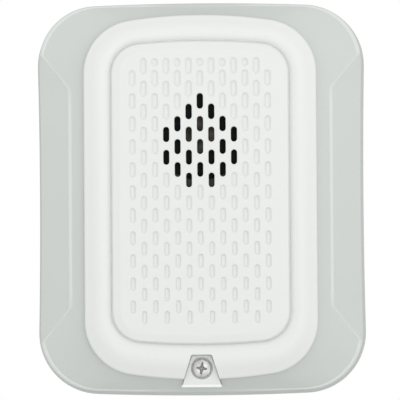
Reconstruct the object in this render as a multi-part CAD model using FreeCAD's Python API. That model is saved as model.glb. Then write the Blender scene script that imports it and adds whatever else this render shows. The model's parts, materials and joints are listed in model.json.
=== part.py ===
import FreeCAD, Part
import math
import os
from collections import namedtuple

# Wall-mounted alarm sounder. Millimetres. The wall is the plane y = 0, the front faces -Y, +Z is up.
# "depth" below always means the distance in front of the wall, so a point at depth d has y = -d.
# The origin is the centre of the rear mounting face.

Outline = namedtuple("Outline", "half_w half_h corner_r crown_r side_r centre_z")

# Outer outline of the whole appliance, at the wall side of its skirt. Its sides are slightly hollow.
BODY = Outline(58.97, 71.45, 22.1, 953.0, 2258.0, 0.0)
# Outline of the raised white cover, whose sides are straight.
COVER = Outline(41.8, 65.4, 19.2, 170.5, None, 0.0)
# Middle line of the reveal groove between the cover and the grille panel.
PANEL = Outline(32.1, 54.6, 11.1, 249.0, None, 1.57)

# Depths, from the wall outwards
PLATE_T = 2.5
SKIRT_BACK = 2.8
COVER_BACK = 5.0
REAR_COVER_BACK = 5.2
REAR_COVER_T = 1.6
BOARD_BACK = 12.0
BOARD_T = 1.6
SKIRT_EDGE = 20.0
SKIRT_TOP = 25.5
COVER_EDGE = 28.4
PANEL_SEAT = 29.0
GROOVE_FLOOR = 30.1
PANEL_EDGE = 31.7
COVER_CREST = 31.4
FRONT = 32.0

WALL = 2.0
SKIRT_WALL = 2.2
SKIRT_DRAFT = 1.3
SKIRT_GAP = 0.15
CHEEK_X = 46.9
CHEEK_SLOPE = 0.42
REVEAL = 1.1
# Rounding of the raised rim, as (inset, depth)
RIM_SHOULDER = (1.2, 29.6)
RIM_INNER = 5.5
PANEL_CHAMFER = 2.7
PANEL_LEDGE = 3.0
PANEL_BORDER = 4.0
PANEL_T = 0.6

# Hinge of the appliance on the two hooks of the mounting plate
HINGE_Z = 65.5
HINGE_DEPTH = 5.5
HINGE_X = 22.0
HINGE_PIN_R = 1.2
HINGE_HOOK_R = 1.27
HOOK_W = 6.0
EAR_T = 1.6
EAR_GAP = 0.5
EAR_R = 2.3
PLATE_TOP = 65.0

# Captive cover screw, a number 6-32 pan head
SCREW_Z = -61.4
SCREW_R = 1.75
SCREW_HEAD_R = 3.25
SCREW_HEAD_H = 2.4
SCREW_RECESS_R = 4.0
SCREW_TIP = 5.0
TAB_BACK = 21.5
TAB_FLOOR = 26.0
HEAD_SEAT = 25.0
WASHER_SHOULDER = 18.4
WASHER_DEPTH = 11.3
WASHER_T = 0.5
WASHER_R = 3.1
BOSS_R = 4.2
BOSS_TOP = 11.0
BOSS_SOCKET_R = 5.4
TOWER_R = 6.4

# Notch in the cover around the screw, a trapezium that widens downwards
NOTCH_TOP_Z = -56.5
NOTCH_BOTTOM_Z = -68.25
NOTCH_TOP_HALF = 3.7
NOTCH_BOTTOM_HALF = 7.35
NOTCH_WALL = 1.4

# Grille slots: thirteen staggered columns that get smaller towards the bottom
COLUMN_PITCH = 4.04
ROW_PITCH = 8.18
OUTER_COLUMN = 6
EVEN_TOP_Z = 42.46
ODD_TOP_Z = 46.86
EVEN_ROWS = 11
ODD_ROWS = 12
SLOT_W_TOP = 2.35
SLOT_W_BOTTOM = 1.7
SLOT_L_TOP = 5.8
SLOT_L_BOTTOM = 4.5
DIMPLE_Z = 48.1
DIMPLE_L = 2.9
SLOT_DEPTH = 0.7
# First and last open row of each column, counted from its top; every other slot is blind
OPEN_ROWS = {0: (1, 4), 1: (2, 5), 2: (2, 4), 3: (3, 4)}

# Back-box fixing holes of the mounting plate
GANG_Z = 83.3 / 2
TWO_GANG_X = 46.0 / 2
OCTAGON_X = 88.9 / 2
FIXING_R = 2.1
FIXING_SLOT_L = 8.0
APERTURE = (-20.0, 20.0, 4.0, 29.0)

# Sounder behind the open slots
SOUNDER_Z = 22.4
SOUNDER_R = 20.5
SOUNDER_WALL = 1.6
SOUNDER_FRONT = 26.5
DISC_DEPTH = 22.0
DISC_R = 17.5
DISC_T = 0.3
CERAMIC_R = 12.5
CERAMIC_T = 0.25
SOUND_PORT_R = 6.5
GASKET_INNER_R = 16.5

# Terminals on the mounting plate
TERMINAL_PITCH = 11.0
TERMINAL_COUNT = 4
TERMINAL_SCREW_Z = -17.0
FINGER_Z = -8.0
BLOCK = (-22.6, 22.6, -23.5, -4.5)
BLOCK_BASE_TOP = 4.5
BARRIER_TOP = 8.2
CONTACT_T = 0.6
CLAMP_DEPTH = 5.3
CLAMP_T = 0.8
TERMINAL_SCREW_R = 1.45

# Circuit board and its fixings
BOARD = (-37.0, 37.0, -44.0, 44.5)
BOARD_SCREW_X = 33.0
BOARD_SCREW_Z = 40.0
BOARD_POST_R = 2.8
CASE_POST_R = 3.2
CASE_SCREW_X = 34.0
CASE_SCREW_Z = 50.0
CASE_SCREW_SEAT = REAR_COVER_BACK + 0.8
SMALL_SCREW_R = 1.3
SMALL_HEAD_R = 2.5
POCKET_TOP = 11.3
POCKET_WALL = 1.4

# Tone and volume selector on the back of the appliance
SELECTOR_X = 30.0
SELECTOR_Z = 20.0
SELECTOR_R = 3.7
SELECTOR_SHAFT_R = 2.5
RUNNING_GAP = 0.07

# Pan head proportions, as shares of the head's height or radius
HEAD_ROUNDING = 0.45
CROSS_REACH = 0.62
CROSS_HALF_W = 0.17
CROSS_SINK = 0.55
TINY = 0.01


def at(x, z, depth):
    """Point x to the right, z up and depth in front of the wall."""
    return FreeCAD.Vector(x, -depth, z)


def forward(length):
    return FreeCAD.Vector(0, -length, 0)


def arc(start, middle, end):
    return Part.Arc(start, middle, end).toShape()


def straight(start, end):
    return Part.LineSegment(start, end).toShape()


def box(x0, x1, z0, z1, depth0, depth1):
    """Block between two x, two z and two depths."""
    return Part.makeBox(x1 - x0, depth1 - depth0, z1 - z0, FreeCAD.Vector(x0, -depth1, z0))


def rod(x, z, radius, depth0, depth1):
    """Round bar along the depth direction."""
    return Part.makeCylinder(radius, depth1 - depth0, at(x, z, depth0), forward(1))


def ring(x, z, outer_r, inner_r, depth0, depth1):
    return rod(x, z, outer_r, depth0, depth1).cut(rod(x, z, inner_r, depth0, depth1))


def prism(points, depth0, depth1):
    """Straight-sided block over a list of (x, z) corners."""
    corners = [at(x, z, depth0) for x, z in points]
    return Part.Face(Part.makePolygon(corners + corners[:1])).extrude(forward(depth1 - depth0))


def stadium(x, z, width, length, depth0, depth1):
    """Upright slot with round ends."""
    radius = width / 2
    reach = (length - width) / 2
    right, left = x + radius, x - radius
    top, bottom = z + reach, z - reach
    edges = [
        straight(at(right, bottom, depth0), at(right, top, depth0)),
        arc(at(right, top, depth0), at(x, top + radius, depth0), at(left, top, depth0)),
        straight(at(left, top, depth0), at(left, bottom, depth0)),
        arc(at(left, bottom, depth0), at(x, bottom - radius, depth0), at(right, bottom, depth0)),
    ]
    return Part.Face(Part.Wire(edges)).extrude(forward(depth1 - depth0))


def level_slot(x, z, width, length, depth0, depth1):
    """Slot with round ends that runs from side to side."""
    upright = stadium(0, 0, width, length, depth0, depth1)
    upright.rotate(FreeCAD.Vector(0, 0, 0), FreeCAD.Vector(0, 1, 0), 90)
    upright.translate(FreeCAD.Vector(x, 0, z))
    return upright


def corner_centre(outline):
    """Centre of the top right corner arc, tangent to the crown and to the side."""
    crown_z = outline.half_h - outline.crown_r
    crown_reach = outline.crown_r - outline.corner_r
    if outline.side_r is None:
        x = outline.half_w - outline.corner_r
        return x, crown_z + math.sqrt(crown_reach ** 2 - x ** 2)
    side_x = outline.half_w + outline.side_r
    side_reach = outline.side_r + outline.corner_r
    distance = math.hypot(side_x, crown_z)
    along = (crown_reach ** 2 - side_reach ** 2 + distance ** 2) / (2 * distance)
    across = math.sqrt(crown_reach ** 2 - along ** 2)
    unit_x = side_x / distance
    unit_z = -crown_z / distance
    return along * unit_x - across * unit_z, crown_z + along * unit_z + across * unit_x


def outline_wire(outline, inset, depth):
    """Closed outline, moved inwards by inset, made of two crowns, two sides and four corner arcs."""
    centre_x, centre_z = corner_centre(outline)
    corner_r = outline.corner_r - inset
    crown_angle = math.atan2(centre_z - (outline.half_h - outline.crown_r), centre_x)
    if outline.side_r is None:
        side_angle = 0.0
    else:
        side_angle = math.atan2(-centre_z, outline.half_w + outline.side_r - centre_x)

    def corner_point(angle):
        return centre_x + corner_r * math.cos(angle), centre_z + corner_r * math.sin(angle)

    crown = corner_point(crown_angle)
    middle = corner_point((crown_angle + side_angle) / 2)
    side = corner_point(side_angle)

    def placed(point, sign_x, sign_z):
        return at(sign_x * point[0], sign_z * point[1] + outline.centre_z, depth)

    def corner(sign_x, sign_z):
        ends = [placed(point, sign_x, sign_z) for point in (crown, middle, side)]
        return arc(*ends)

    def crown_edge(sign_z):
        top = (0.0, outline.half_h - inset)
        return arc(placed(crown, -1, sign_z), placed(top, 1, sign_z), placed(crown, 1, sign_z))

    def side_edge(sign_x):
        if outline.side_r is None:
            return straight(placed(side, sign_x, 1), placed(side, sign_x, -1))
        waist = (outline.half_w - inset, 0.0)
        return arc(placed(side, sign_x, 1), placed(waist, sign_x, 1), placed(side, sign_x, -1))

    edges = [crown_edge(1), corner(1, 1), side_edge(1), corner(1, -1)]
    edges += [crown_edge(-1), corner(-1, -1), side_edge(-1), corner(-1, 1)]
    return Part.Wire(edges)


def slab(outline, inset, depth0, depth1):
    """Straight-sided block over an outline."""
    return Part.Face(outline_wire(outline, inset, depth0)).extrude(forward(depth1 - depth0))


def tapered(sections):
    """Block through several (outline, inset, depth) sections."""
    wires = [outline_wire(outline, inset, depth) for outline, inset, depth in sections]
    return Part.makeLoft(wires, True, True)


def joined(first, others):
    return first.fuse(others).removeSplitter()


def at_four_corners(maker, x, z):
    return [maker(sign_x * x, sign_z * z) for sign_x in (-1, 1) for sign_z in (-1, 1)]


def terminal_places():
    half_span = (TERMINAL_COUNT - 1) / 2
    return [(index - half_span) * TERMINAL_PITCH for index in range(TERMINAL_COUNT)]


def pan_screw(x, z, shank_r, head_r, head_h, seat, tip, heading):
    """Screw whose head lies at depth seat and whose tip lies at depth tip.

    heading is 1 when the head faces the front and -1 when it faces the wall.
    """
    head = rod(x, z, head_r, min(seat, seat + heading * head_h), max(seat, seat + heading * head_h))
    top = seat + heading * head_h
    crown_edge = [edge for edge in head.Edges if abs(edge.BoundBox.Center.y + top) < TINY]
    head = head.makeFillet(head_h * HEAD_ROUNDING, crown_edge[:1])
    shank = rod(x, z, shank_r, min(seat, tip), max(seat, tip))
    screw = joined(head, [shank])
    reach = head_r * CROSS_REACH
    blade = head_r * CROSS_HALF_W
    sink = head_h * CROSS_SINK
    low, high = min(top, top - heading * sink), max(top, top - heading * sink)
    cross = [box(x - reach, x + reach, z - blade, z + blade, low, high)]
    cross.append(box(x - blade, x + blade, z - reach, z + reach, low, high))
    return screw.cut(cross)


def mounting_plate():
    """Plate that stays on the wall and carries the hooks, the screw boss and the terminals."""
    plate = slab(BODY, 1.5, 0, PLATE_T)
    plate = plate.cut(box(-BODY.half_w, BODY.half_w, PLATE_TOP, BODY.half_h, -1, PLATE_T + 1))
    aperture_lip = [
        box(x0, x1, z0, z1, PLATE_T, PLATE_T + 1.2)
        for x0, x1, z0, z1 in (
            (APERTURE[0] - 1.5, APERTURE[0], APERTURE[2] - 1.5, APERTURE[3] + 1.5),
            (APERTURE[1], APERTURE[1] + 1.5, APERTURE[2] - 1.5, APERTURE[3] + 1.5),
            (APERTURE[0], APERTURE[1], APERTURE[3], APERTURE[3] + 1.5),
        )
    ]
    ribs = [box(sign * 51 - 0.8, sign * 51 + 0.8, -42, 42, PLATE_T, PLATE_T + 2.5) for sign in (-1, 1)]
    boss = rod(0, SCREW_Z, BOSS_R, 0, BOSS_TOP)
    plate = joined(plate, aperture_lip + ribs + [boss] + [hook(sign * HINGE_X) for sign in (-1, 1)])
    holes = [box(*APERTURE, -1, PLATE_T + 2)]
    holes += [stadium(0, sign * GANG_Z, 2 * FIXING_R, FIXING_SLOT_L, -1, PLATE_T + 1) for sign in (-1, 1)]
    for sign in (-1, 1):
        holes.append(level_slot(sign * OCTAGON_X, 0, 2 * FIXING_R, FIXING_SLOT_L, -1, PLATE_T + 1))
    holes += at_four_corners(lambda x, z: rod(x, z, FIXING_R, -1, PLATE_T + 1), TWO_GANG_X, GANG_Z)
    holes.append(rod(0, SCREW_Z, 3.0, 4.0, BOSS_TOP + 1))
    holes.append(rod(0, SCREW_Z, SCREW_R + 0.3, 2.0, BOSS_TOP + 1))
    return plate.cut(holes)


def hook(x):
    """Hook open at the top, in which one hinge pin of the appliance turns."""
    block = box(x - HOOK_W / 2, x + HOOK_W / 2, HINGE_Z - 4, HINGE_Z + 0.8, PLATE_T - 0.5, HINGE_DEPTH + 2.7)
    axis = FreeCAD.Vector(1, 0, 0)
    seat = Part.makeCylinder(HINGE_HOOK_R, HOOK_W + 2, at(x - HOOK_W / 2 - 1, HINGE_Z, HINGE_DEPTH), axis)
    low, high = HINGE_DEPTH - HINGE_HOOK_R, HINGE_DEPTH + HINGE_HOOK_R
    mouth = box(x - HOOK_W, x + HOOK_W, HINGE_Z, HINGE_Z + 2, low, high)
    return block.cut([seat, mouth])


def screw_insert():
    """Threaded brass insert in the boss of the mounting plate."""
    insert = ring(0, SCREW_Z, 3.0, SCREW_R + 0.1, 4.0, BOSS_TOP)
    grooves = [ring(0, SCREW_Z, 3.2, 2.7, depth, depth + 0.8) for depth in (5.5, 8.5)]
    return insert.cut(grooves)


def terminal_block():
    """Moulded carrier of the four wiring terminals, with barriers between them."""
    base = box(*BLOCK, PLATE_T, BLOCK_BASE_TOP)
    half_span = TERMINAL_COUNT / 2
    barriers = []
    for index in range(TERMINAL_COUNT + 1):
        x = (index - half_span) * TERMINAL_PITCH
        barriers.append(box(x - 0.6, x + 0.6, BLOCK[2], BLOCK[3], PLATE_T, BARRIER_TOP))
    block = joined(base, barriers)
    cuts = [rod(x, TERMINAL_SCREW_Z, TERMINAL_SCREW_R + 0.3, PLATE_T + 0.3, 6) for x in terminal_places()]
    cuts.append(box(-1, 1, FINGER_Z - 4.9, FINGER_Z - 2.1, 6.4, BARRIER_TOP + 1))
    return block.cut(cuts)


def terminal_contact(x):
    """Contact strip from a wiring screw to the landing pad of its spring finger."""
    top = BLOCK_BASE_TOP + CONTACT_T
    strip = box(x - 4, x + 4, -22.5, -5, BLOCK_BASE_TOP, top)
    stop = box(x - 4, x + 4, -5.6, -5, top, top + 1.5)
    hole = rod(x, TERMINAL_SCREW_Z, TERMINAL_SCREW_R + RUNNING_GAP, 4, 8)
    return joined(strip, [stop]).cut(hole)


def clamp_plate(x):
    """Square washer under a wiring screw, with its wire-gripping edges turned down."""
    half, centre_z = 3.6, TERMINAL_SCREW_Z
    plate = box(x - half, x + half, centre_z - half, centre_z + half, CLAMP_DEPTH, CLAMP_DEPTH + CLAMP_T)
    hole = rod(x, centre_z, TERMINAL_SCREW_R + RUNNING_GAP, CLAMP_DEPTH - 1, CLAMP_DEPTH + 2)
    grooves = []
    for z in (centre_z - 2.6, centre_z + 2.6):
        grooves.append(box(x - 4, x + 4, z - 0.3, z + 0.3, CLAMP_DEPTH - 0.1, CLAMP_DEPTH + 0.25))
    return plate.cut([hole] + grooves)


def terminal_screw(x):
    seat = CLAMP_DEPTH + CLAMP_T
    return pan_screw(x, TERMINAL_SCREW_Z, TERMINAL_SCREW_R, 2.8, 1.4, seat, PLATE_T + 0.5, 1)


def shorting_spring():
    """Strip that joins the two middle terminals until the appliance is fitted."""
    low = BLOCK_BASE_TOP + CONTACT_T
    thick = 0.4
    foot_x, rise_x, high = 7.5, 3.0, 6.7
    below = [(-foot_x, low), (-rise_x, low), (-1.6, high), (1.6, high), (rise_x, low), (foot_x, low)]
    above = [(x, depth + thick) for x, depth in reversed(below)]
    corners = [at(x, FINGER_Z - 4.6, depth) for x, depth in below + above]
    face = Part.Face(Part.makePolygon(corners + corners[:1]))
    return face.extrude(FreeCAD.Vector(0, 0, 2.2))


def notch(side_margin, depth0, depth1):
    """Trapezium around the screw; side_margin makes it wider and taller."""
    lean = (NOTCH_BOTTOM_HALF - NOTCH_TOP_HALF) / (NOTCH_TOP_Z - NOTCH_BOTTOM_Z)
    top_half = NOTCH_TOP_HALF + side_margin
    top_z = NOTCH_TOP_Z + side_margin
    bottom_half = NOTCH_BOTTOM_HALF + side_margin + lean * 4
    bottom_z = NOTCH_BOTTOM_Z - 4
    corners = [(-top_half, top_z), (top_half, top_z), (bottom_half, bottom_z), (-bottom_half, bottom_z)]
    return prism(corners, depth0, depth1)


def screw_tab():
    """Pad under the screw head, which reaches out over the skirt."""
    return notch(0, TAB_BACK, TAB_FLOOR).common(tab_limit(0))


def tab_limit(margin):
    """Space inside the lower edge of the pad, grown by margin."""
    return slab(BODY, BODY.half_h + NOTCH_BOTTOM_Z - margin, 0, FRONT)


def snap_places():
    return [(sign_x, sign_z * 25.0) for sign_x in (-1, 1) for sign_z in (-1, 1)]


def side_block(sign_x, near, far, z, half_l, depth0, depth1):
    """Block on the left or right wall, from the distance near to far from the middle plane."""
    x0, x1 = sorted((sign_x * near, sign_x * far))
    return box(x0, x1, z - half_l, z + half_l, depth0, depth1)


def hook_pocket(x):
    """Space in the appliance that the hook of the plate swings in."""
    return box(x - 6, x + 6, HINGE_Z - 5, BODY.half_h, 0, 9.5)


def front_cover():
    """White shell with its raised rim, the panel seat, the screw tower and the fixing posts."""
    rim = [(COVER, 0, COVER_EDGE), (COVER, *RIM_SHOULDER), (COVER, RIM_INNER, COVER_CREST)]
    shell = tapered([(COVER, 0, COVER_BACK)] + rim)
    inner_top = PANEL_SEAT - WALL
    cavity = slab(COVER, WALL, 0, inner_top)
    recess = slab(PANEL, -REVEAL / 2, PANEL_SEAT, FRONT + 1)
    sound_opening = slab(PANEL, PANEL_LEDGE, inner_top - 5, FRONT + 1)
    cover = shell.cut([cavity, recess, sound_opening])
    notch_wall = notch(NOTCH_WALL, TAB_BACK, COVER_EDGE - 0.1).common(slab(COVER, 0.5, 10, FRONT))
    case_low = REAR_COVER_BACK + REAR_COVER_T
    board_low = BOARD_BACK + BOARD_T
    posts = at_four_corners(
        lambda x, z: rod(x, z, CASE_POST_R, case_low, inner_top), CASE_SCREW_X, CASE_SCREW_Z)
    posts += at_four_corners(
        lambda x, z: rod(x, z, BOARD_POST_R, board_low, inner_top), BOARD_SCREW_X, BOARD_SCREW_Z)
    tower = rod(0, SCREW_Z, TOWER_R, COVER_BACK, TAB_BACK + 1)
    near, far = COVER.half_w - 0.5, COVER.half_w + 1.1
    bumps = [side_block(sign_x, near, far, z, 2.5, 16, 18) for sign_x, z in snap_places()]
    cover = joined(cover, [notch_wall, tower, screw_tab()] + posts + bumps)
    cuts = [notch(0, TAB_FLOOR, FRONT + 1)]
    cuts.append(rod(0, SCREW_Z, SCREW_RECESS_R, HEAD_SEAT, TAB_FLOOR + 1))
    cuts.append(rod(0, SCREW_Z, SCREW_R + 0.25, WASHER_SHOULDER - 1, HEAD_SEAT + 1))
    cuts.append(rod(0, SCREW_Z, WASHER_R + 0.3, 10, WASHER_SHOULDER))
    cuts.append(rod(0, SCREW_Z, BOSS_SOCKET_R, COVER_BACK - 1, BOSS_TOP + 0.6))
    cuts += at_four_corners(lambda x, z: rod(x, z, SMALL_SCREW_R, 0, 16), CASE_SCREW_X, CASE_SCREW_Z)
    cuts += at_four_corners(lambda x, z: rod(x, z, SMALL_SCREW_R, 10, 20), BOARD_SCREW_X, BOARD_SCREW_Z)
    cuts += [hook_pocket(sign * HINGE_X) for sign in (-1, 1)]
    return cover.cut(cuts)


def trim_skirt():
    """Grey skirt round the cover: a sloping front with a cheek facet each side, and drafted walls."""
    outer = tapered([(BODY, 0, SKIRT_BACK), (BODY, SKIRT_DRAFT, SKIRT_EDGE)])
    slope = tapered([(BODY, SKIRT_DRAFT, SKIRT_EDGE), (COVER, -SKIRT_GAP, SKIRT_TOP)])
    inner_edge = SKIRT_EDGE - SKIRT_WALL
    inner = tapered([(BODY, SKIRT_WALL, 0), (BODY, SKIRT_DRAFT + SKIRT_WALL, inner_edge)])
    inner_opening = (COVER, -SKIRT_GAP, SKIRT_TOP - SKIRT_WALL)
    inner_slope = tapered([(BODY, SKIRT_DRAFT + SKIRT_WALL, inner_edge), inner_opening])
    slope_run = BODY.half_w - SKIRT_DRAFT - COVER.half_w
    crease = SKIRT_TOP - (SKIRT_TOP - SKIRT_EDGE) * (CHEEK_X - COVER.half_w) / slope_run
    cuts = [joined(inner, [inner_slope]), slab(COVER, -SKIRT_GAP, 0, FRONT)]
    cuts += [cheek_cut(sign_x, crease) for sign_x in (-1, 1)]
    cuts.append(notch(SKIRT_GAP, 12, FRONT).common(tab_limit(SKIRT_GAP)))
    cuts.append(rod(0, SCREW_Z, TOWER_R + 0.15, 0, TAB_BACK + 2))
    fingers = [side_block(sign_x, 42.1, 43.5, z, 4, 14, 23.2) for sign_x, z in snap_places()]
    windows = [side_block(sign_x, 41, 45, z, 3, 15.5, 18.5) for sign_x, z in snap_places()]
    skirt = joined(outer, [slope])
    for cutter in cuts:
        skirt = skirt.cut(cutter)
    return skirt.fuse(fingers).cut(windows)


def cheek_cut(sign_x, crease):
    """Wedge that takes the skirt down from the crease line to the side edge."""
    far_x = BODY.half_w + 2
    far_depth = crease - CHEEK_SLOPE * (far_x - CHEEK_X)
    profile = [(CHEEK_X, crease), (far_x, far_depth), (far_x, FRONT), (CHEEK_X, FRONT)]
    corners = [at(sign_x * x, -BODY.half_h, depth) for x, depth in profile]
    face = Part.Face(Part.makePolygon(corners + corners[:1]))
    return face.extrude(FreeCAD.Vector(0, 0, 2 * BODY.half_h))


def slot_table():
    """Every slot as (x, z, width, length, is_open)."""
    slots = []
    for column in range(-OUTER_COLUMN, OUTER_COLUMN + 1):
        odd = column % 2 == 1
        top_z = ODD_TOP_Z if odd else EVEN_TOP_Z
        first_open, last_open = OPEN_ROWS.get(abs(column), (1, 0))
        for row in range(ODD_ROWS if odd else EVEN_ROWS):
            z = top_z - row * ROW_PITCH
            fraction = (ODD_TOP_Z - z) / (2 * ODD_TOP_Z)
            width = SLOT_W_TOP + (SLOT_W_BOTTOM - SLOT_W_TOP) * fraction
            length = SLOT_L_TOP + (SLOT_L_BOTTOM - SLOT_L_TOP) * fraction
            slots.append((column * COLUMN_PITCH, z, width, length, first_open <= row <= last_open))
        if not odd and abs(column) < OUTER_COLUMN:
            slots.append((column * COLUMN_PITCH, DIMPLE_Z, SLOT_W_TOP, DIMPLE_L, False))
    return slots


def grille_panel():
    """Inset panel with its pattern of blind slots and the open ones in front of the sounder."""
    edge = REVEAL / 2
    front = [(PANEL, edge, PANEL_SEAT), (PANEL, edge, PANEL_EDGE), (PANEL, edge + PANEL_CHAMFER, FRONT)]
    flange = slab(PANEL, 0.1 - edge, PANEL_SEAT, GROOVE_FLOOR)
    panel = joined(tapered(front), [flange])
    cuts = [slab(PANEL, edge + PANEL_BORDER, 0, PANEL_SEAT + PANEL_T)]
    for x, z, width, length, is_open in slot_table():
        floor = PANEL_SEAT - 1 if is_open else FRONT - SLOT_DEPTH
        cuts.append(stadium(x, z, width, length, floor, FRONT + 1))
    return panel.cut(cuts)


def rear_cover():
    """Back of the appliance, with a pocket over the terminals and the ears of the hinge pins."""
    top = REAR_COVER_BACK + REAR_COVER_T
    cover = slab(COVER, WALL + 0.2, REAR_COVER_BACK, top)
    x0, x1, z0, z1 = BLOCK
    wall = POCKET_WALL
    pocket_inner = box(x0 - 1, x1 + 1, z0 - 1, z1 + 1, 0, POCKET_TOP - wall)
    reach = 1 + wall
    pocket_outer = box(x0 - reach, x1 + reach, z0 - reach, z1 + reach, REAR_COVER_BACK, POCKET_TOP)
    cover = joined(cover, [pocket_outer]).cut([hook_pocket(sign * HINGE_X) for sign in (-1, 1)])
    ears = [ear(sign * HINGE_X, side) for sign in (-1, 1) for side in (-1, 1)]
    pins = [hinge_pin(sign * HINGE_X) for sign in (-1, 1)]
    cover = joined(cover, ears + pins)
    cuts = [pocket_inner, rod(0, SCREW_Z, TOWER_R + 0.2, 0, POCKET_TOP)]
    cuts.append(rod(SELECTOR_X, SELECTOR_Z, SELECTOR_R + 0.4, 0, POCKET_TOP))
    cuts += at_four_corners(case_screw_clearance, CASE_SCREW_X, CASE_SCREW_Z)
    for x in terminal_places():
        cuts.append(box(x - 1.6, x + 1.6, FINGER_Z - 0.8, FINGER_Z + 0.8, 8, POCKET_TOP + 1))
    return cover.cut(cuts)


def case_screw_clearance(x, z):
    """Through hole of a case screw with its counterbore."""
    through = rod(x, z, SMALL_SCREW_R + 0.2, 0, POCKET_TOP)
    return joined(through, [rod(x, z, SMALL_HEAD_R + 0.2, 0, CASE_SCREW_SEAT)])


def ear(x, side):
    """Upright ear that carries one end of a hinge pin."""
    near = HOOK_W / 2 + EAR_GAP
    x0, x1 = sorted((x + side * near, x + side * (near + EAR_T)))
    axis = FreeCAD.Vector(1, 0, 0)
    head = Part.makeCylinder(EAR_R, EAR_T, at(x0, HINGE_Z, HINGE_DEPTH), axis)
    stem = box(x0, x1, HINGE_Z - 8, HINGE_Z, HINGE_DEPTH - EAR_R + 1.4, HINGE_DEPTH + EAR_R)
    return joined(head, [stem])


def hinge_pin(x):
    half_l = HOOK_W / 2 + EAR_GAP + EAR_T / 2
    start = at(x - half_l, HINGE_Z, HINGE_DEPTH)
    return Part.makeCylinder(HINGE_PIN_R, 2 * half_l, start, FreeCAD.Vector(1, 0, 0))


def case_screws():
    def screw(x, z):
        return pan_screw(x, z, SMALL_SCREW_R, SMALL_HEAD_R, 1.2, CASE_SCREW_SEAT, 15, -1)

    return Part.makeCompound(at_four_corners(screw, CASE_SCREW_X, CASE_SCREW_Z))


def board_screws():
    def screw(x, z):
        return pan_screw(x, z, SMALL_SCREW_R, SMALL_HEAD_R, 1.4, BOARD_BACK, 19, -1)

    return Part.makeCompound(at_four_corners(screw, BOARD_SCREW_X, BOARD_SCREW_Z))


def circuit_board():
    board = box(*BOARD, BOARD_BACK, BOARD_BACK + BOARD_T)
    upright = [edge for edge in board.Edges if abs(edge.BoundBox.YLength - BOARD_T) < 0.01]
    board = board.makeFillet(2.0, upright)
    holes = at_four_corners(lambda x, z: rod(x, z, SMALL_SCREW_R + 0.3, 11, 15), BOARD_SCREW_X, BOARD_SCREW_Z)
    return board.cut(holes)


def sounder_housing():
    """Cup of the sounder, with a ledge for the diaphragm and a back chamber."""
    back = BOARD_BACK + BOARD_T
    cup = rod(0, SOUNDER_Z, SOUNDER_R, back, SOUNDER_FRONT)
    chamber = rod(0, SOUNDER_Z, DISC_R - 1.8, back + SOUNDER_WALL, SOUNDER_FRONT)
    seat = rod(0, SOUNDER_Z, DISC_R + 0.1, DISC_DEPTH, SOUNDER_FRONT)
    mouth = rod(0, SOUNDER_Z, SOUNDER_R - SOUNDER_WALL, DISC_DEPTH + 2.5, SOUNDER_FRONT)
    pin_holes = [rod(x, SOUNDER_Z, 0.7, back - 1, back + 3) for x in (-8, 8)]
    return cup.cut([chamber, seat, mouth] + pin_holes)


def sounder_diaphragm():
    return rod(0, SOUNDER_Z, DISC_R, DISC_DEPTH, DISC_DEPTH + DISC_T)


def piezo_disc():
    return rod(0, SOUNDER_Z, CERAMIC_R, DISC_DEPTH - CERAMIC_T, DISC_DEPTH)


def sounder_cap():
    """Clamping cap with the round sound port, through which the diaphragm shows."""
    low = DISC_DEPTH + 2.5
    cap = ring(0, SOUNDER_Z, SOUNDER_R - SOUNDER_WALL - 0.1, SOUND_PORT_R, low, SOUNDER_FRONT)
    clamp = ring(0, SOUNDER_Z, DISC_R - 0.1, DISC_R - 2.0, DISC_DEPTH + DISC_T, low)
    return joined(cap, [clamp])


def sounder_gasket():
    return ring(0, SOUNDER_Z, SOUNDER_R, GASKET_INNER_R, SOUNDER_FRONT, PANEL_SEAT + 0.6)


def sounder_pins():
    """Two spring pins from the board to the ceramic disc."""
    top = DISC_DEPTH - CERAMIC_T
    return Part.makeCompound([rod(x, SOUNDER_Z, 0.5, BOARD_BACK + BOARD_T, top) for x in (-8, 8)])


COIL = (-22.0, -14.0)
COIL_R = 8.0
COIL_H = 11.0


def coil_core():
    """Ferrite bobbin of the voltage step-up coil."""
    low = BOARD_BACK + BOARD_T
    flanges = [rod(*COIL, COIL_R, low, low + 1.8), rod(*COIL, COIL_R, low + COIL_H - 1.8, low + COIL_H)]
    return joined(rod(*COIL, 3.5, low, low + COIL_H), flanges)


def coil_winding():
    low = BOARD_BACK + BOARD_T + 1.8
    return ring(*COIL, COIL_R - 0.8, 3.5, low, low + COIL_H - 3.6)


def electrolytic_capacitor():
    """Can with its crimped groove near the board."""
    low = BOARD_BACK + BOARD_T
    can = rod(-4, -13, 5.0, low, low + 12.5)
    crimp = ring(-4, -13, 5.2, 4.5, low + 1.5, low + 2.3)
    return can.cut(crimp)


def film_capacitors():
    low = BOARD_BACK + BOARD_T
    return Part.makeCompound([box(8, 15.2, z - 1.5, z + 1.5, low, low + 7.0) for z in (-7.0, -13.0, -19.0)])


CHIP = (8.0, 18.0, -34.0, -30.0)


def controller_chip():
    low = BOARD_BACK + BOARD_T + 0.2
    body = box(*CHIP, low, low + 1.5)
    return body.cut(rod(CHIP[0] + 1.2, CHIP[2] + 1.0, 0.5, low + 1.3, low + 2))


def controller_leads():
    """Sixteen gull-wing leads, eight on each long side of the chip."""
    low = BOARD_BACK + BOARD_T
    leads = []
    for index in range(8):
        x = CHIP[0] + 0.56 + index * 1.27
        for edge, sign in ((CHIP[3], 1), (CHIP[2], -1)):
            z0, z1 = sorted((edge, edge + sign * 1.0))
            leads.append(box(x - 0.2, x + 0.2, z0, z1, low, low + 0.8))
    return Part.makeCompound(leads)


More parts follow.
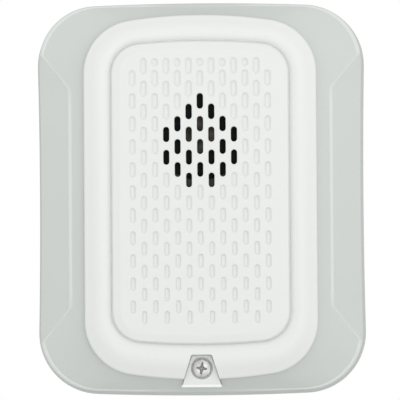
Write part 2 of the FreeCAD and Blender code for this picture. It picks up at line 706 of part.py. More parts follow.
def transistors():
    """Three small flat-backed transistors that drive the coil."""
    low = BOARD_BACK + BOARD_T
    bodies = []
    for x in (-30.0, -22.0, -14.0):
        round_body = rod(x, -31, 2.4, low + 1.5, low + 6.0)
        bodies.append(round_body.cut(box(x - 3, x + 3, -34, -32.4, low, low + 7)))
    return Part.makeCompound(bodies)


def transistor_leads():
    low = BOARD_BACK + BOARD_T
    places = [(x + step, -30.6) for x in (-30.0, -22.0, -14.0) for step in (-1.27, 0.0, 1.27)]
    return Part.makeCompound([rod(x, z, 0.25, low, low + 1.5) for x, z in places])


def diodes():
    low = BOARD_BACK + BOARD_T
    return Part.makeCompound([box(x - 2.1, x + 2.1, z - 1.3, z + 1.3, low, low + 2.2)
                              for x in (24.0, 31.0) for z in (-8.0, -14.0)])


def resistors():
    low = BOARD_BACK + BOARD_T
    return Part.makeCompound([box(x - 1.6, x + 1.6, z - 0.8, z + 0.8, low, low + 0.6)
                              for x in (-6.0, 24.0, 30.0) for z in (-24.0, -29.0, -34.0)])


def contact_fingers():
    """Four spring fingers that land on the terminal contacts when the appliance is closed."""
    tip = BLOCK_BASE_TOP + CONTACT_T + 0.3
    fingers = []
    for x in terminal_places():
        blade = box(x - 1.2, x + 1.2, FINGER_Z - 0.25, FINGER_Z + 0.25, tip + 0.5, BOARD_BACK)
        pad = Part.makeCylinder(0.5, 2.4, at(x - 1.2, FINGER_Z, tip + 0.5), FreeCAD.Vector(1, 0, 0))
        fingers.append(joined(blade, [pad]))
    return Part.makeCompound(fingers)


def selector_switch():
    """Body of the rotary selector, soldered to the back of the board."""
    body = box(SELECTOR_X - 5, SELECTOR_X + 5, SELECTOR_Z - 5, SELECTOR_Z + 5, 7.2, BOARD_BACK)
    bore = rod(SELECTOR_X, SELECTOR_Z, SELECTOR_SHAFT_R + RUNNING_GAP, 7, 10.5)
    return body.cut(bore)


def selector_rotor():
    """Turning part of the selector, with a screwdriver slot and a pointer notch."""
    low = REAR_COVER_BACK + 0.1
    disc = rod(SELECTOR_X, SELECTOR_Z, SELECTOR_R, low, 7.0)
    shaft = rod(SELECTOR_X, SELECTOR_Z, SELECTOR_SHAFT_R, 7.0, 10.2)
    slot = box(SELECTOR_X - 0.5, SELECTOR_X + 0.5, SELECTOR_Z - 2.4, SELECTOR_Z + 2.4, low - 1, low + 0.8)
    x, z = SELECTOR_X, SELECTOR_Z
    pointer = prism([(x - 1.3, z + 2.0), (x + 1.3, z + 2.0), (x, z + 3.4)], low - 1, low + 0.8)
    return joined(disc, [shaft]).cut([slot, pointer])


def rating_label():
    return box(-31, -3, 33, 45, REAR_COVER_BACK - 0.15, REAR_COVER_BACK)


def captive_screw():
    return pan_screw(0, SCREW_Z, SCREW_R, SCREW_HEAD_R, SCREW_HEAD_H, HEAD_SEAT, SCREW_TIP, 1)


def retaining_washer():
    """Split washer that keeps the screw in the appliance."""
    washer = ring(0, SCREW_Z, WASHER_R, SCREW_R + RUNNING_GAP, WASHER_DEPTH, WASHER_DEPTH + WASHER_T)
    return washer.cut(box(-0.3, 0.3, SCREW_Z, SCREW_Z + 4, WASHER_DEPTH - 1, WASHER_DEPTH + 1))


def build():
    parts = {
        "mounting_plate": mounting_plate(),
        "screw_insert": screw_insert(),
        "terminal_block": terminal_block(),
        "shorting_spring": shorting_spring(),
        "front_cover": front_cover(),
        "trim_skirt": trim_skirt(),
        "grille_panel": grille_panel(),
        "rear_cover": rear_cover(),
        "case_screws": case_screws(),
        "board_screws": board_screws(),
        "circuit_board": circuit_board(),
        "sounder_housing": sounder_housing(),
        "sounder_diaphragm": sounder_diaphragm(),
        "piezo_disc": piezo_disc(),
        "sounder_cap": sounder_cap(),
        "sounder_gasket": sounder_gasket(),
        "sounder_pins": sounder_pins(),
        "coil_core": coil_core(),
        "coil_winding": coil_winding(),
        "electrolytic_capacitor": electrolytic_capacitor(),
        "film_capacitors": film_capacitors(),
        "controller_chip": controller_chip(),
        "controller_leads": controller_leads(),
        "transistors": transistors(),
        "transistor_leads": transistor_leads(),
        "diodes": diodes(),
        "resistors": resistors(),
        "contact_fingers": contact_fingers(),
        "selector_switch": selector_switch(),
        "selector_rotor": selector_rotor(),
        "rating_label": rating_label(),
        "captive_screw": captive_screw(),
        "retaining_washer": retaining_washer(),
    }
    for number, x in enumerate(terminal_places(), start=1):
        parts[f"terminal_contact_{number}"] = terminal_contact(x)
        parts[f"clamp_plate_{number}"] = clamp_plate(x)
        parts[f"terminal_screw_{number}"] = terminal_screw(x)
    return parts


def save(parts):
    os.makedirs("parts", exist_ok=True)
    for name, shape in parts.items():
        if not shape.isValid():
            raise ValueError(name + " is not a valid solid")
        shape.exportStep("parts/" + name + ".step")
        print(name, len(shape.Solids), round(shape.Volume, 1))


save(build())
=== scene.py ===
import json
import math

import bmesh
import bpy
from mathutils import Matrix, Vector


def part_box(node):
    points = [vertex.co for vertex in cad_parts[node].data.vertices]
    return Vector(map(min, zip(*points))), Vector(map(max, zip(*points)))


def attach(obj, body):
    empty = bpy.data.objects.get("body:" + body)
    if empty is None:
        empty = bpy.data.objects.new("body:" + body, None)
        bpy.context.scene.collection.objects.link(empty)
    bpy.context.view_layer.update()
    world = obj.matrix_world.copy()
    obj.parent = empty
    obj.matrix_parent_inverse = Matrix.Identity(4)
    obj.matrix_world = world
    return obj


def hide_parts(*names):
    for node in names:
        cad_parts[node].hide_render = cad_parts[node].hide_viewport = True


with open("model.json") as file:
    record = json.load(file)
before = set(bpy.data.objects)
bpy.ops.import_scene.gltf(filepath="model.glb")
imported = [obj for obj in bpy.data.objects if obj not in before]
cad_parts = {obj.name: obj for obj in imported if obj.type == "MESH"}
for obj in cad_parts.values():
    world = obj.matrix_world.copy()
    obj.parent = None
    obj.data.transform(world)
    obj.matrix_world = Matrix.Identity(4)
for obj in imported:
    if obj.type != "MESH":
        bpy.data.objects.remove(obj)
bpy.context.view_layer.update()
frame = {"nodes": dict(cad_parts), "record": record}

bl_info = {
    "name": "Wall Alarm Siren",
    "version": (1, 0, 0),
    "blender": (4, 5, 0),
    "location": "3D View > Sidebar > Siren",
    "description": "Models the front of a wall alarm siren and finishes its other parts",
    "category": "Object",
}

MM = 0.001

# How many steps each half side, corner and half crown of a moulded outline is drawn with
SIDE_STEPS = 22
CORNER_STEPS = 26
CROWN_STEPS = 22
SLOT_STEPS = 9
TURN_STEPS = 48

# Depths in front of the wall: ends of the CAD nodes that the modelled pieces stand for
SKIRT_BACK = -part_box("trim_skirt")[1].y
PANEL_FRONT, PANEL_BACK = (-corner.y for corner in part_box("grille_panel"))
SCREW_LOW, SCREW_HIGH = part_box("captive_screw")
SCREW_TOP, SCREW_TIP = -SCREW_LOW.y, -SCREW_HIGH.y

# Depths in front of the wall: steps of the front
COVER_BACK = 5.0 * MM
SKIRT_TOP = 25.5 * MM
PANEL_SEAT = 29.0 * MM
GROOVE_FLOOR = 30.1 * MM
CLEAR_OF_FRONT = 34 * MM

# Notch with the screw pad: depths, heights and half widths
TAB_BACK = 21.5 * MM
TAB_FLOOR = 26.6 * MM
HEAD_SEAT = 25.0 * MM
NOTCH_TOP = -56.5 * MM
NOTCH_BOTTOM = -67.95 * MM
NOTCH_TOP_HALF = 3.7 * MM
NOTCH_BOTTOM_HALF = 7.25 * MM
LIP_TOP = -67.05 * MM
LIP_BOTTOM = -68.25 * MM
LIP_TOP_HALF = 7.0 * MM
LIP_BOTTOM_HALF = 7.45 * MM

# Round shapes on the screw's axis, as (radius, depth) profiles
SCREW_AXIS = (0.0, -61.4 * MM)
TOWER = [(6.4 * MM, COVER_BACK), (6.4 * MM, TAB_BACK + 1 * MM)]
RECESS = [(3.85 * MM, HEAD_SEAT), (3.85 * MM, TAB_FLOOR - 0.2 * MM),
          (4.05 * MM, TAB_FLOOR + 0.05 * MM), (4.05 * MM, 30 * MM)]
CLEARANCE = [(2.3 * MM, 12 * MM), (2.3 * MM, 26 * MM)]
BORE = [(5.4 * MM, 1 * MM), (5.4 * MM, 11.6 * MM), (3.4 * MM, 11.6 * MM), (3.4 * MM, 18.4 * MM)]
SKIRT_HOLE = [(6.55 * MM, 0.0), (6.55 * MM, 23 * MM)]

# Pockets for the hooks of the plate
POCKET_X = 22 * MM
POCKET_HALF = 6 * MM
POCKET_LOW = 60.5 * MM
POCKET_HIGH = 75 * MM

# Rim of the cover: places across it, as shares of its width, and how far the crest falls off in millimetres
RIM_RISE = (0.12, 0.24, 0.36, 0.48, 0.6)
RIM_FALL = ((0.72, 0.02), (0.84, 0.16), (0.94, 0.42), (1.0, 0.8))

# Skirt: draft and thickness of its wall, fall of its cheeks, lean of its slanted creases
SKIRT_DRAFT = 1.3 * MM
SKIRT_WALL = 2.2 * MM
CHEEK_SLOPE = 0.46
CREASE_LEAN = 10.6 / 8.6
# Section of the bead on the crease: distances outwards in millimetres, and shares of the bead's height
BEAD = ((0.72, 0.0), (0.56, 0.5), (0.3, 0.93), (0.0, 1.0), (-0.3, 0.93), (-0.62, 0.5), (-0.9, 0.0))

# Grille in millimetres: spacing of columns and rows, and the open rows by column from the middle
COLUMN_STEP = 4.04
ROW_STEP = 8.18
ODD_TOP = 46.86
EVEN_TOP = 42.46
FIELD_HEIGHT = 93.7
OPEN_ROWS = {0: (1, 4), 1: (2, 5), 2: (2, 4), 3: (3, 4)}

# Slot that is copied and stretched to every place
SLOT_WIDTH = 2.0 * MM
SLOT_LENGTH = 5.0 * MM

# Cover screw: core and crest of its thread, pitch, and the half lengths of the two bars of its cross
CORE_R = 1.42 * MM
THREAD_R = 1.75 * MM
PITCH = 0.794 * MM
CROSS_REACH = (2.02 * MM, 2.3 * MM)
CROSS_HALF_WIDE = 0.66 * MM

# Camera: distance, sensor in millimetres, and the width it sees at the object
CAMERA_DISTANCE = 1.5
SENSOR = 36.0
VIEW_WIDTH = 146.125 * MM


def parts_settings():
    """Sizes set in the sidebar."""
    return bpy.context.scene.siren_sizes


def finish_settings():
    """Colours and light set in the sidebar."""
    return bpy.context.scene.siren_finish


class SirenSizes(bpy.types.PropertyGroup):
    """Sizes of the moulded front"""
    wall: bpy.props.FloatProperty(
        name="Wall", description="Thickness of the moulded walls",
        default=2.0 * MM, unit="LENGTH", precision=5)
    rim_edge: bpy.props.FloatProperty(
        name="Rim edge", description="Depth at which the side of the raised rim ends",
        default=28.4 * MM, unit="LENGTH", precision=5)
    rim_crest: bpy.props.FloatProperty(
        name="Rim crest", description="Depth of the highest line of the raised rim",
        default=31.4 * MM, unit="LENGTH", precision=5)
    skirt_edge: bpy.props.FloatProperty(
        name="Skirt edge", description="Depth at which the skirt's outer wall ends",
        default=20.0 * MM, unit="LENGTH", precision=5)
    crease_x: bpy.props.FloatProperty(
        name="Crease", description="Distance of the cheek crease from the middle",
        default=47.15 * MM, unit="LENGTH", precision=5)
    crease_z: bpy.props.FloatProperty(
        name="Crease half height", description="Half height of the upright part of the crease",
        default=39.3 * MM, unit="LENGTH", precision=5)
    bead: bpy.props.FloatProperty(
        name="Bead", description="Height of the rounded bead on the crease",
        default=0.3 * MM, unit="LENGTH", precision=5)
    reveal: bpy.props.FloatProperty(
        name="Reveal", description="Width of the groove round the grille panel",
        default=1.1 * MM, unit="LENGTH", precision=5)
    slot_depth: bpy.props.FloatProperty(
        name="Slot depth", description="Depth of the blind slots",
        default=0.7 * MM, unit="LENGTH", precision=5)
    screw_turn: bpy.props.FloatProperty(
        name="Recess angle", description="Angle at which the screw's cross recess came to rest",
        default=math.radians(8.5), unit="ROTATION", subtype="ANGLE")


class SirenFinish(bpy.types.PropertyGroup):
    """Colours of the plastics and the strength of the light"""
    cover_colour: bpy.props.FloatVectorProperty(
        name="Cover", description="Colour of the white cover",
        default=(0.735, 0.75, 0.728), subtype="COLOR")
    panel_colour: bpy.props.FloatVectorProperty(
        name="Panel", description="Colour of the grille panel",
        default=(0.715, 0.73, 0.708), subtype="COLOR")
    skirt_colour: bpy.props.FloatVectorProperty(
        name="Skirt", description="Colour of the grey skirt",
        default=(0.56, 0.592, 0.568), subtype="COLOR")
    key_watts: bpy.props.FloatProperty(
        name="Key light", description="Power of the key light", default=5.3, unit="POWER")
    sky_strength: bpy.props.FloatProperty(
        name="Surround", description="Strength of the white surround", default=0.945)


class Outline:
    """Rounded outline: crowned ends, straight or slightly hollow sides and tangent corner arcs."""

    def __init__(self, half_w, half_h, corner_r, crown_r, side_r=None, centre_z=0.0):
        self.half_w = half_w
        self.half_h = half_h
        self.corner_r = corner_r
        self.crown_r = crown_r
        self.side_r = side_r
        self.centre_z = centre_z
        self.corner_x, self.corner_z = self.find_corner()

    def find_corner(self):
        """Centre of the top right corner arc."""
        crown_z = self.half_h - self.crown_r
        crown_reach = self.crown_r - self.corner_r
        if self.side_r is None:
            x = self.half_w - self.corner_r
            return x, crown_z + math.sqrt(crown_reach ** 2 - x ** 2)
        side_x = self.half_w + self.side_r
        side_reach = self.side_r + self.corner_r
        distance = math.hypot(side_x, crown_z)
        along = (crown_reach ** 2 - side_reach ** 2 + distance ** 2) / (2 * distance)
        across = math.sqrt(crown_reach ** 2 - along ** 2)
        unit_x, unit_z = side_x / distance, -crown_z / distance
        return along * unit_x - across * unit_z, crown_z + along * unit_z + across * unit_x

    def quarter(self, inset):
        """Points from the middle of the right side up to the middle of the top, as (x, z)."""
        crown_z = self.half_h - self.crown_r
        crown_angle = math.atan2(self.corner_z - crown_z, self.corner_x)
        side_angle = 0.0
        if self.side_r is not None:
            side_angle = math.atan2(-self.corner_z, self.half_w + self.side_r - self.corner_x)
        radius = self.corner_r - inset
        points = []
        for step in range(SIDE_STEPS):
            part = step / SIDE_STEPS
            if self.side_r is None:
                points.append((self.half_w - inset, self.corner_z * part))
            else:
                angle = side_angle * part
                reach = self.side_r + inset
                points.append((self.half_w + self.side_r - reach * math.cos(angle),
                               -reach * math.sin(angle)))
        for step in range(CORNER_STEPS):
            angle = side_angle + (crown_angle - side_angle) * step / CORNER_STEPS
            points.append((self.corner_x + radius * math.cos(angle),
                           self.corner_z + radius * math.sin(angle)))
        for step in range(CROWN_STEPS + 1):
            angle = crown_angle + (math.pi / 2 - crown_angle) * step / CROWN_STEPS
            reach = self.crown_r - inset
            points.append((reach * math.cos(angle), crown_z + reach * math.sin(angle)))
        return points

    def ring(self, inset):
        """All points anticlockwise from the middle of the right side."""
        quarter = self.quarter(inset)
        top_left = [(-x, z) for x, z in reversed(quarter[:-1])]
        bottom_left = [(-x, -z) for x, z in quarter[1:]]
        bottom_right = [(x, -z) for x, z in reversed(quarter[1:-1])]
        return [(x, z + self.centre_z) for x, z in quarter + top_left + bottom_left + bottom_right]


BODY = Outline(58.97 * MM, 71.45 * MM, 22.1 * MM, 953 * MM, 2258 * MM)
COVER = Outline(41.8 * MM, 65.4 * MM, 19.2 * MM, 170.5 * MM)
PANEL = Outline(32.1 * MM, 54.6 * MM, 11.1 * MM, 249 * MM, centre_z=1.57 * MM)


def at(x, z, depth):
    """Point x to the right, z up and depth in front of the wall."""
    return Vector((x, -depth, z))


def laid(ring, depth):
    """A ring of (x, z) points at one depth."""
    return [at(x, z, depth) for x, z in ring]


def stack(outline, steps):
    """Rings of one outline at (inset, depth) steps."""
    return [laid(outline.ring(inset), depth) for inset, depth in steps]


def between(ring_a, ring_b, part):
    """Ring part of the way from one ring to another."""
    return [(ax + (bx - ax) * part, az + (bz - az) * part) for (ax, az), (bx, bz) in zip(ring_a, ring_b)]


# ---------------------------------------------------------------- modelling by hand

def deselect():
    """Leaves edit mode and selects nothing."""
    if bpy.context.object and bpy.context.object.mode != "OBJECT":
        bpy.ops.object.mode_set(mode="OBJECT")
    bpy.ops.object.select_all(action="DESELECT")


def only(piece):
    """Makes a piece the only one selected, and the active one."""
    deselect()
    piece.select_set(True)
    bpy.context.view_layer.objects.active = piece


def start_loop(name, points):
    """Adds a circle with one vertex per point and moves its vertices onto the points."""
    deselect()
    bpy.ops.mesh.primitive_circle_add(vertices=len(points), radius=10 * MM, fill_type="NOTHING")
    piece = bpy.context.object
    piece.name = name
    piece.data.name = name
    bpy.ops.object.mode_set(mode="EDIT")
    bm = bmesh.from_edit_mesh(piece.data)
    place = bm.verts.layers.int.new("place")
    # Per-vertex share of the painted highlight, which lightens the base colour there.
    bm.verts.layers.float.new("painted_highlight")
    bm.verts.ensure_lookup_table()
    for index, point in enumerate(points):
        bm.verts[index][place] = index
        bm.verts[index].co = point
    bmesh.update_edit_mesh(piece.data)
    return piece


def add_loop(piece, points, painted_highlight=None):
    """Extrudes the selected loop and moves the new loop onto the points, with their share of painted
    highlight.
    """
    bpy.ops.mesh.extrude_edges_move()
    bm = bmesh.from_edit_mesh(piece.data)
    place = bm.verts.layers.int["place"]
    highlight_layer = bm.verts.layers.float["painted_highlight"]
    for vertex in bm.verts:
        if vertex.select:
            vertex.co = points[vertex[place]]
            vertex[highlight_layer] = painted_highlight[vertex[place]] if painted_highlight else 0.0
    bmesh.update_edit_mesh(piece.data)


def cap_loop():
    """Closes the selected loop with one face."""
    bpy.ops.mesh.edge_face_add()


def close_up(piece):
    """Merges doubled vertices, turns the faces outwards and leaves edit mode."""
    bpy.ops.mesh.select_all(action="SELECT")
    bpy.ops.mesh.remove_doubles(threshold=0.002 * MM)
    bpy.ops.mesh.normals_make_consistent(inside=False)
    bpy.ops.object.mode_set(mode="OBJECT")
    return piece


def ring_shell(name, rings, painted_highlight=None):
    """Closed shell round an opening: the section runs through all rings and back to the first."""
    painted_highlight = painted_highlight or {}
    piece = start_loop(name, rings[0])
    bpy.ops.mesh.select_all(action="SELECT")
    for number, ring in enumerate(rings[1:], start=1):
        add_loop(piece, ring, painted_highlight.get(number))
    add_loop(piece, rings[0])
    return close_up(piece)


def capped_block(name, rings):
    """Solid block through all rings, closed by one face at each end."""
    piece = start_loop(name, rings[0])
    bpy.ops.mesh.select_all(action="SELECT")
    cap_loop()
    for ring in rings[1:]:
        add_loop(piece, ring)
    cap_loop()
    return close_up(piece)


def combine(piece, tool, operation):
    """Applies a boolean with the tool and removes the tool."""
    only(piece)
    modifier = piece.modifiers.new(operation.title(), "BOOLEAN")
    modifier.operation = operation
    modifier.solver = "EXACT"
    modifier.object = tool
    bpy.ops.object.modifier_apply(modifier=modifier.name)
    bpy.data.objects.remove(tool)


def clear_slivers(piece):
    """Removes the needle faces that booleans leave behind."""
    only(piece)
    bpy.ops.object.mode_set(mode="EDIT")
    bpy.ops.mesh.select_all(action="SELECT")
    bpy.ops.mesh.dissolve_degenerate(threshold=0.001 * MM)
    close_up(piece)


def smooth(piece, degrees=32):
    """Shades a piece smooth up to an angle, with its flats kept even."""
    only(piece)
    bpy.ops.object.shade_smooth_by_angle(angle=math.radians(degrees))
    modifier = piece.modifiers.new("Even normals", "WEIGHTED_NORMAL")
    modifier.keep_sharp = True
    bpy.ops.object.modifier_apply(modifier=modifier.name)


def put(piece, body, slot, material, *replaced):
    """Gives a finished piece its material and its body, and hides the CAD nodes it stands for."""
    piece.data.materials.clear()
    piece.data.materials.append(material)
    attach(piece, body)
    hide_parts(*replaced)


def block_from(name, corners, depth0, depth1, radius, edge=0.0):
    """Block over (x, z) corners whose upright edges are rounded, with a rounded front edge if asked."""
    piece = capped_block(name, [laid(corners, depth0), laid(corners, depth1)])
    bpy.ops.object.mode_set(mode="EDIT")
    if radius:
        select_edges(piece, lambda a, b: abs(a.y - b.y) > (depth1 - depth0) * 0.9)
        bpy.ops.mesh.bevel(offset=radius, segments=4, affect="EDGES")
    if edge:
        select_edges(piece, lambda a, b: abs(a.y + depth1) < 1e-6 and abs(b.y + depth1) < 1e-6)
        bpy.ops.mesh.bevel(offset=edge, segments=3, affect="EDGES")
    return close_up(piece)


def select_edges(piece, wanted):
    """Selects the edges whose two ends pass a test."""
    bpy.ops.mesh.select_mode(type="EDGE")
    bpy.ops.mesh.select_all(action="DESELECT")
    bm = bmesh.from_edit_mesh(piece.data)
    for edge in bm.edges:
        edge.select_set(wanted(edge.verts[0].co, edge.verts[1].co))
    bmesh.update_edit_mesh(piece.data)


def turned_block(name, centre, profile, steps=TURN_STEPS):
    """Solid of revolution along the depth direction, from (radius, depth) points; closed at both ends."""
    rings = []
    for radius, depth in profile:
        ring = []
        for step in range(steps):
            angle = 2 * math.pi * step / steps
            ring.append(at(centre[0] + radius * math.cos(angle), centre[1] + radius * math.sin(angle), depth))
        rings.append(ring)
    return capped_block(name, rings)


# ---------------------------------------------------------------- materials

def node(tree, kind, x, y, **values):
    """Adds a shader node and sets its attributes."""
    made = tree.nodes.new(kind)
    made.location = (x, y)
    for key, value in values.items():
        setattr(made, key, value)
    return made


def group_with(name, inputs, outputs):
    """New node group with its sockets."""
    tree = bpy.data.node_groups.new(name, "ShaderNodeTree")
    for label, kind, default in inputs:
        socket = tree.interface.new_socket(name=label, in_out="INPUT", socket_type=kind)
        socket.default_value = default
    for label, kind in outputs:
        tree.interface.new_socket(name=label, in_out="OUTPUT", socket_type=kind)
    return tree


def moulded_grain():
    """Fine spark-eroded mould texture: a height for bump, and slight changes of tone and roughness."""
    name = "moulded_grain"
    if name in bpy.data.node_groups:
        return bpy.data.node_groups[name]
    inputs = [
        ("Colour", "NodeSocketColor", (0.8, 0.8, 0.8, 1.0)),
        ("Tone Change", "NodeSocketFloat", 0.03),
        ("Roughness", "NodeSocketFloat", 0.45),
        ("Grain per Metre", "NodeSocketFloat", 3200.0),
    ]
    outputs = [("Colour", "NodeSocketColor"), ("Roughness", "NodeSocketFloat"), ("Height", "NodeSocketFloat")]
    tree = group_with(name, inputs, outputs)
    links = tree.links
    came = node(tree, "NodeGroupInput", -900, 0)
    goes = node(tree, "NodeGroupOutput", 700, 0)
    where = node(tree, "ShaderNodeTexCoord", -900, -300)
    fine = node(tree, "ShaderNodeTexNoise", -600, -300)
    fine.inputs["Detail"].default_value = 4.0
    fine.inputs["Roughness"].default_value = 0.65
    links.new(where.outputs["Object"], fine.inputs["Vector"])
    links.new(came.outputs["Grain per Metre"], fine.inputs["Scale"])
    broad = node(tree, "ShaderNodeTexNoise", -600, 200)
    broad.inputs["Scale"].default_value = 38.0
    broad.inputs["Detail"].default_value = 5.0
    links.new(where.outputs["Object"], broad.inputs["Vector"])
    spread = node(tree, "ShaderNodeMath", -400, 200, operation="SUBTRACT")
    spread.inputs[1].default_value = 0.5
    links.new(broad.outputs["Fac"], spread.inputs[0])
    fine_spread = node(tree, "ShaderNodeMath", -400, -100, operation="SUBTRACT")
    fine_spread.inputs[1].default_value = 0.5
    links.new(fine.outputs["Fac"], fine_spread.inputs[0])
    both = node(tree, "ShaderNodeMath", -220, 100, operation="ADD")
    links.new(spread.outputs[0], both.inputs[0])
    links.new(fine_spread.outputs[0], both.inputs[1])
    amount = node(tree, "ShaderNodeMath", -50, 100, operation="MULTIPLY_ADD")
    amount.inputs[2].default_value = 1.0
    links.new(both.outputs[0], amount.inputs[0])
    links.new(came.outputs["Tone Change"], amount.inputs[1])
    tinted = node(tree, "ShaderNodeVectorMath", 200, 150, operation="SCALE")
    links.new(came.outputs["Colour"], tinted.inputs[0])
    links.new(amount.outputs[0], tinted.inputs["Scale"])
    links.new(tinted.outputs["Vector"], goes.inputs["Colour"])
    rough = node(tree, "ShaderNodeMath", 200, -50, operation="MULTIPLY_ADD")
    rough.inputs[1].default_value = 0.18
    links.new(spread.outputs[0], rough.inputs[0])
    links.new(came.outputs["Roughness"], rough.inputs[2])
    links.new(rough.outputs[0], goes.inputs["Roughness"])
    links.new(fine.outputs["Fac"], goes.inputs["Height"])
    return tree


def new_material(name):
    """Material with a bare Principled shader, with its tree and that shader."""
    material = bpy.data.materials.new(name)
    material.use_nodes = True
    material.node_tree.nodes.clear()
    tree = material.node_tree
    shader = node(tree, "ShaderNodeBsdfPrincipled", 300, 0)
    output = node(tree, "ShaderNodeOutputMaterial", 600, 0)
    tree.links.new(shader.outputs["BSDF"], output.inputs["Surface"])
    return material, tree, shader


def moulded_plastic(name, colour, roughness=0.45, tone=0.03, grain=3200.0, relief=0.012):
    """Textured moulded plastic."""
    material, tree, shader = new_material(name)
    grain_node = node(tree, "ShaderNodeGroup", -200, 0)
    grain_node.node_tree = moulded_grain()
    grain_node.inputs["Colour"].default_value = (*colour, 1.0)
    grain_node.inputs["Tone Change"].default_value = tone
    grain_node.inputs["Roughness"].default_value = roughness
    grain_node.inputs["Grain per Metre"].default_value = grain
    bump = node(tree, "ShaderNodeBump", 50, -300)
    bump.inputs["Strength"].default_value = 0.35
    bump.inputs["Distance"].default_value = relief * MM
    tree.links.new(grain_node.outputs["Colour"], shader.inputs["Base Color"])
    tree.links.new(grain_node.outputs["Roughness"], shader.inputs["Roughness"])
    tree.links.new(grain_node.outputs["Height"], bump.inputs["Height"])
    tree.links.new(bump.outputs["Normal"], shader.inputs["Normal"])
    shader.inputs["IOR"].default_value = 1.46
    return material


def paint_highlight(material):
    """Paints a highlight into a material: lightens its base colour where the mesh is marked for the painted
    highlight.
    """
    tree = material.node_tree
    shader = next(item for item in tree.nodes if item.type == "BSDF_PRINCIPLED")
    came = shader.inputs["Base Color"].links[0].from_socket
    painted_highlight = node(tree, "ShaderNodeAttribute", -200, 300, attribute_name="painted_highlight")
    lighter = node(tree, "ShaderNodeMath", 0, 300, operation="MULTIPLY_ADD")
    lighter.inputs[1].default_value = 0.15
    lighter.inputs[2].default_value = 1.0
    scaled = node(tree, "ShaderNodeVectorMath", 150, 300, operation="SCALE")
    tree.links.new(painted_highlight.outputs["Fac"], lighter.inputs[0])
    tree.links.new(came, scaled.inputs[0])
    tree.links.new(lighter.outputs[0], scaled.inputs["Scale"])
    tree.links.new(scaled.outputs["Vector"], shader.inputs["Base Color"])


def plated_metal(name, colour, roughness=0.28, stretch=(1.0, 1.0, 1.0), tone=0.12):
    """Plated or drawn metal with fine marks and slight staining."""
    material, tree, shader = new_material(name)
    where = node(tree, "ShaderNodeTexCoord", -1000, 0)
    mapping = node(tree, "ShaderNodeMapping", -800, 0)
    mapping.inputs["Scale"].default_value = stretch
    tree.links.new(where.outputs["Object"], mapping.inputs["Vector"])
    grain_node = node(tree, "ShaderNodeTexNoise", -600, -200)
    grain_node.inputs["Scale"].default_value = 2600.0
    grain_node.inputs["Detail"].default_value = 3.0
    tree.links.new(mapping.outputs["Vector"], grain_node.inputs["Vector"])
    stain = node(tree, "ShaderNodeTexNoise", -600, 150)
    stain.inputs["Scale"].default_value = 320.0
    stain.inputs["Detail"].default_value = 4.0
    tree.links.new(where.outputs["Object"], stain.inputs["Vector"])
    ramp = node(tree, "ShaderNodeValToRGB", -350, 150)
    dark = [channel * (1 - tone) for channel in colour]
    ramp.color_ramp.elements[0].position = 0.3
    ramp.color_ramp.elements[0].color = (*dark, 1.0)
    ramp.color_ramp.elements[1].position = 0.7
    ramp.color_ramp.elements[1].color = (*colour, 1.0)
    tree.links.new(stain.outputs["Fac"], ramp.inputs["Fac"])
    tree.links.new(ramp.outputs["Color"], shader.inputs["Base Color"])
    rough = node(tree, "ShaderNodeMapRange", -350, -100)
    rough.inputs["To Min"].default_value = roughness * 0.8
    rough.inputs["To Max"].default_value = roughness * 1.35
    tree.links.new(grain_node.outputs["Fac"], rough.inputs["Value"])
    tree.links.new(rough.outputs["Result"], shader.inputs["Roughness"])
    bump = node(tree, "ShaderNodeBump", 0, -300)
    bump.inputs["Strength"].default_value = 0.3
    bump.inputs["Distance"].default_value = 0.01 * MM
    tree.links.new(grain_node.outputs["Fac"], bump.inputs["Height"])
    tree.links.new(bump.outputs["Normal"], shader.inputs["Normal"])
    shader.inputs["Metallic"].default_value = 1.0
    return material


# ---------------------------------------------------------------- pieces

def edge_round(outline, inset, depth, radius, steps=3):
    """Rings of a quarter-round from an upright wall at inset to a flat at depth."""
    rings = []
    for step in range(steps + 1):
        angle = math.pi / 2 * step / steps
        ring = outline.ring(inset + radius * (1 - math.cos(angle)))
        rings.append(laid(ring, depth - radius * (1 - math.sin(angle))))
    return rings


def cover_rings(sizes):
    """Section of the white cover, from the back of its wall over the rim and into the panel seat."""
    chamfer = 0.3 * MM
    rounding = 1.2 * MM
    fit = 0.02 * MM
    fillet = 0.06 * MM
    ledge = 3.0 * MM
    low = sizes.rim_edge + rounding
    rings = stack(COVER, [(chamfer, COVER_BACK), (0.0, COVER_BACK + chamfer), (0.0, 15 * MM)])
    rings += edge_round(COVER, 0.0, low, rounding, 4)
    outer = COVER.ring(rounding)
    groove = PANEL.ring(-sizes.reveal / 2)
    for part in RIM_RISE:
        rise = math.sin(math.pi / 2 * part / RIM_RISE[-1])
        rings.append(laid(between(outer, groove, part), low + (sizes.rim_crest - low) * rise))
    for part, fall in RIM_FALL:
        rings.append(laid(between(outer, groove, part), sizes.rim_crest - fall * MM))
    rings += stack(PANEL, [(-fit - fillet, GROOVE_FLOOR + fillet), (-fit, GROOVE_FLOOR), (-fit, PANEL_SEAT),
                           (ledge, PANEL_SEAT), (ledge, PANEL_SEAT - sizes.wall)])
    return rings + stack(COVER, [(sizes.wall, PANEL_SEAT - sizes.wall), (sizes.wall, COVER_BACK)])


def notch_corners(margin, bottom):
    """Trapezium round the screw that widens downwards, as (x, z) corners."""
    lean = (NOTCH_BOTTOM_HALF - NOTCH_TOP_HALF) / (NOTCH_TOP - NOTCH_BOTTOM)
    top = NOTCH_TOP + margin
    low_half = NOTCH_TOP_HALF + margin + lean * (NOTCH_TOP - bottom)
    high_half = NOTCH_TOP_HALF + margin
    return [(-high_half, top), (-low_half, bottom), (low_half, bottom), (high_half, top)]


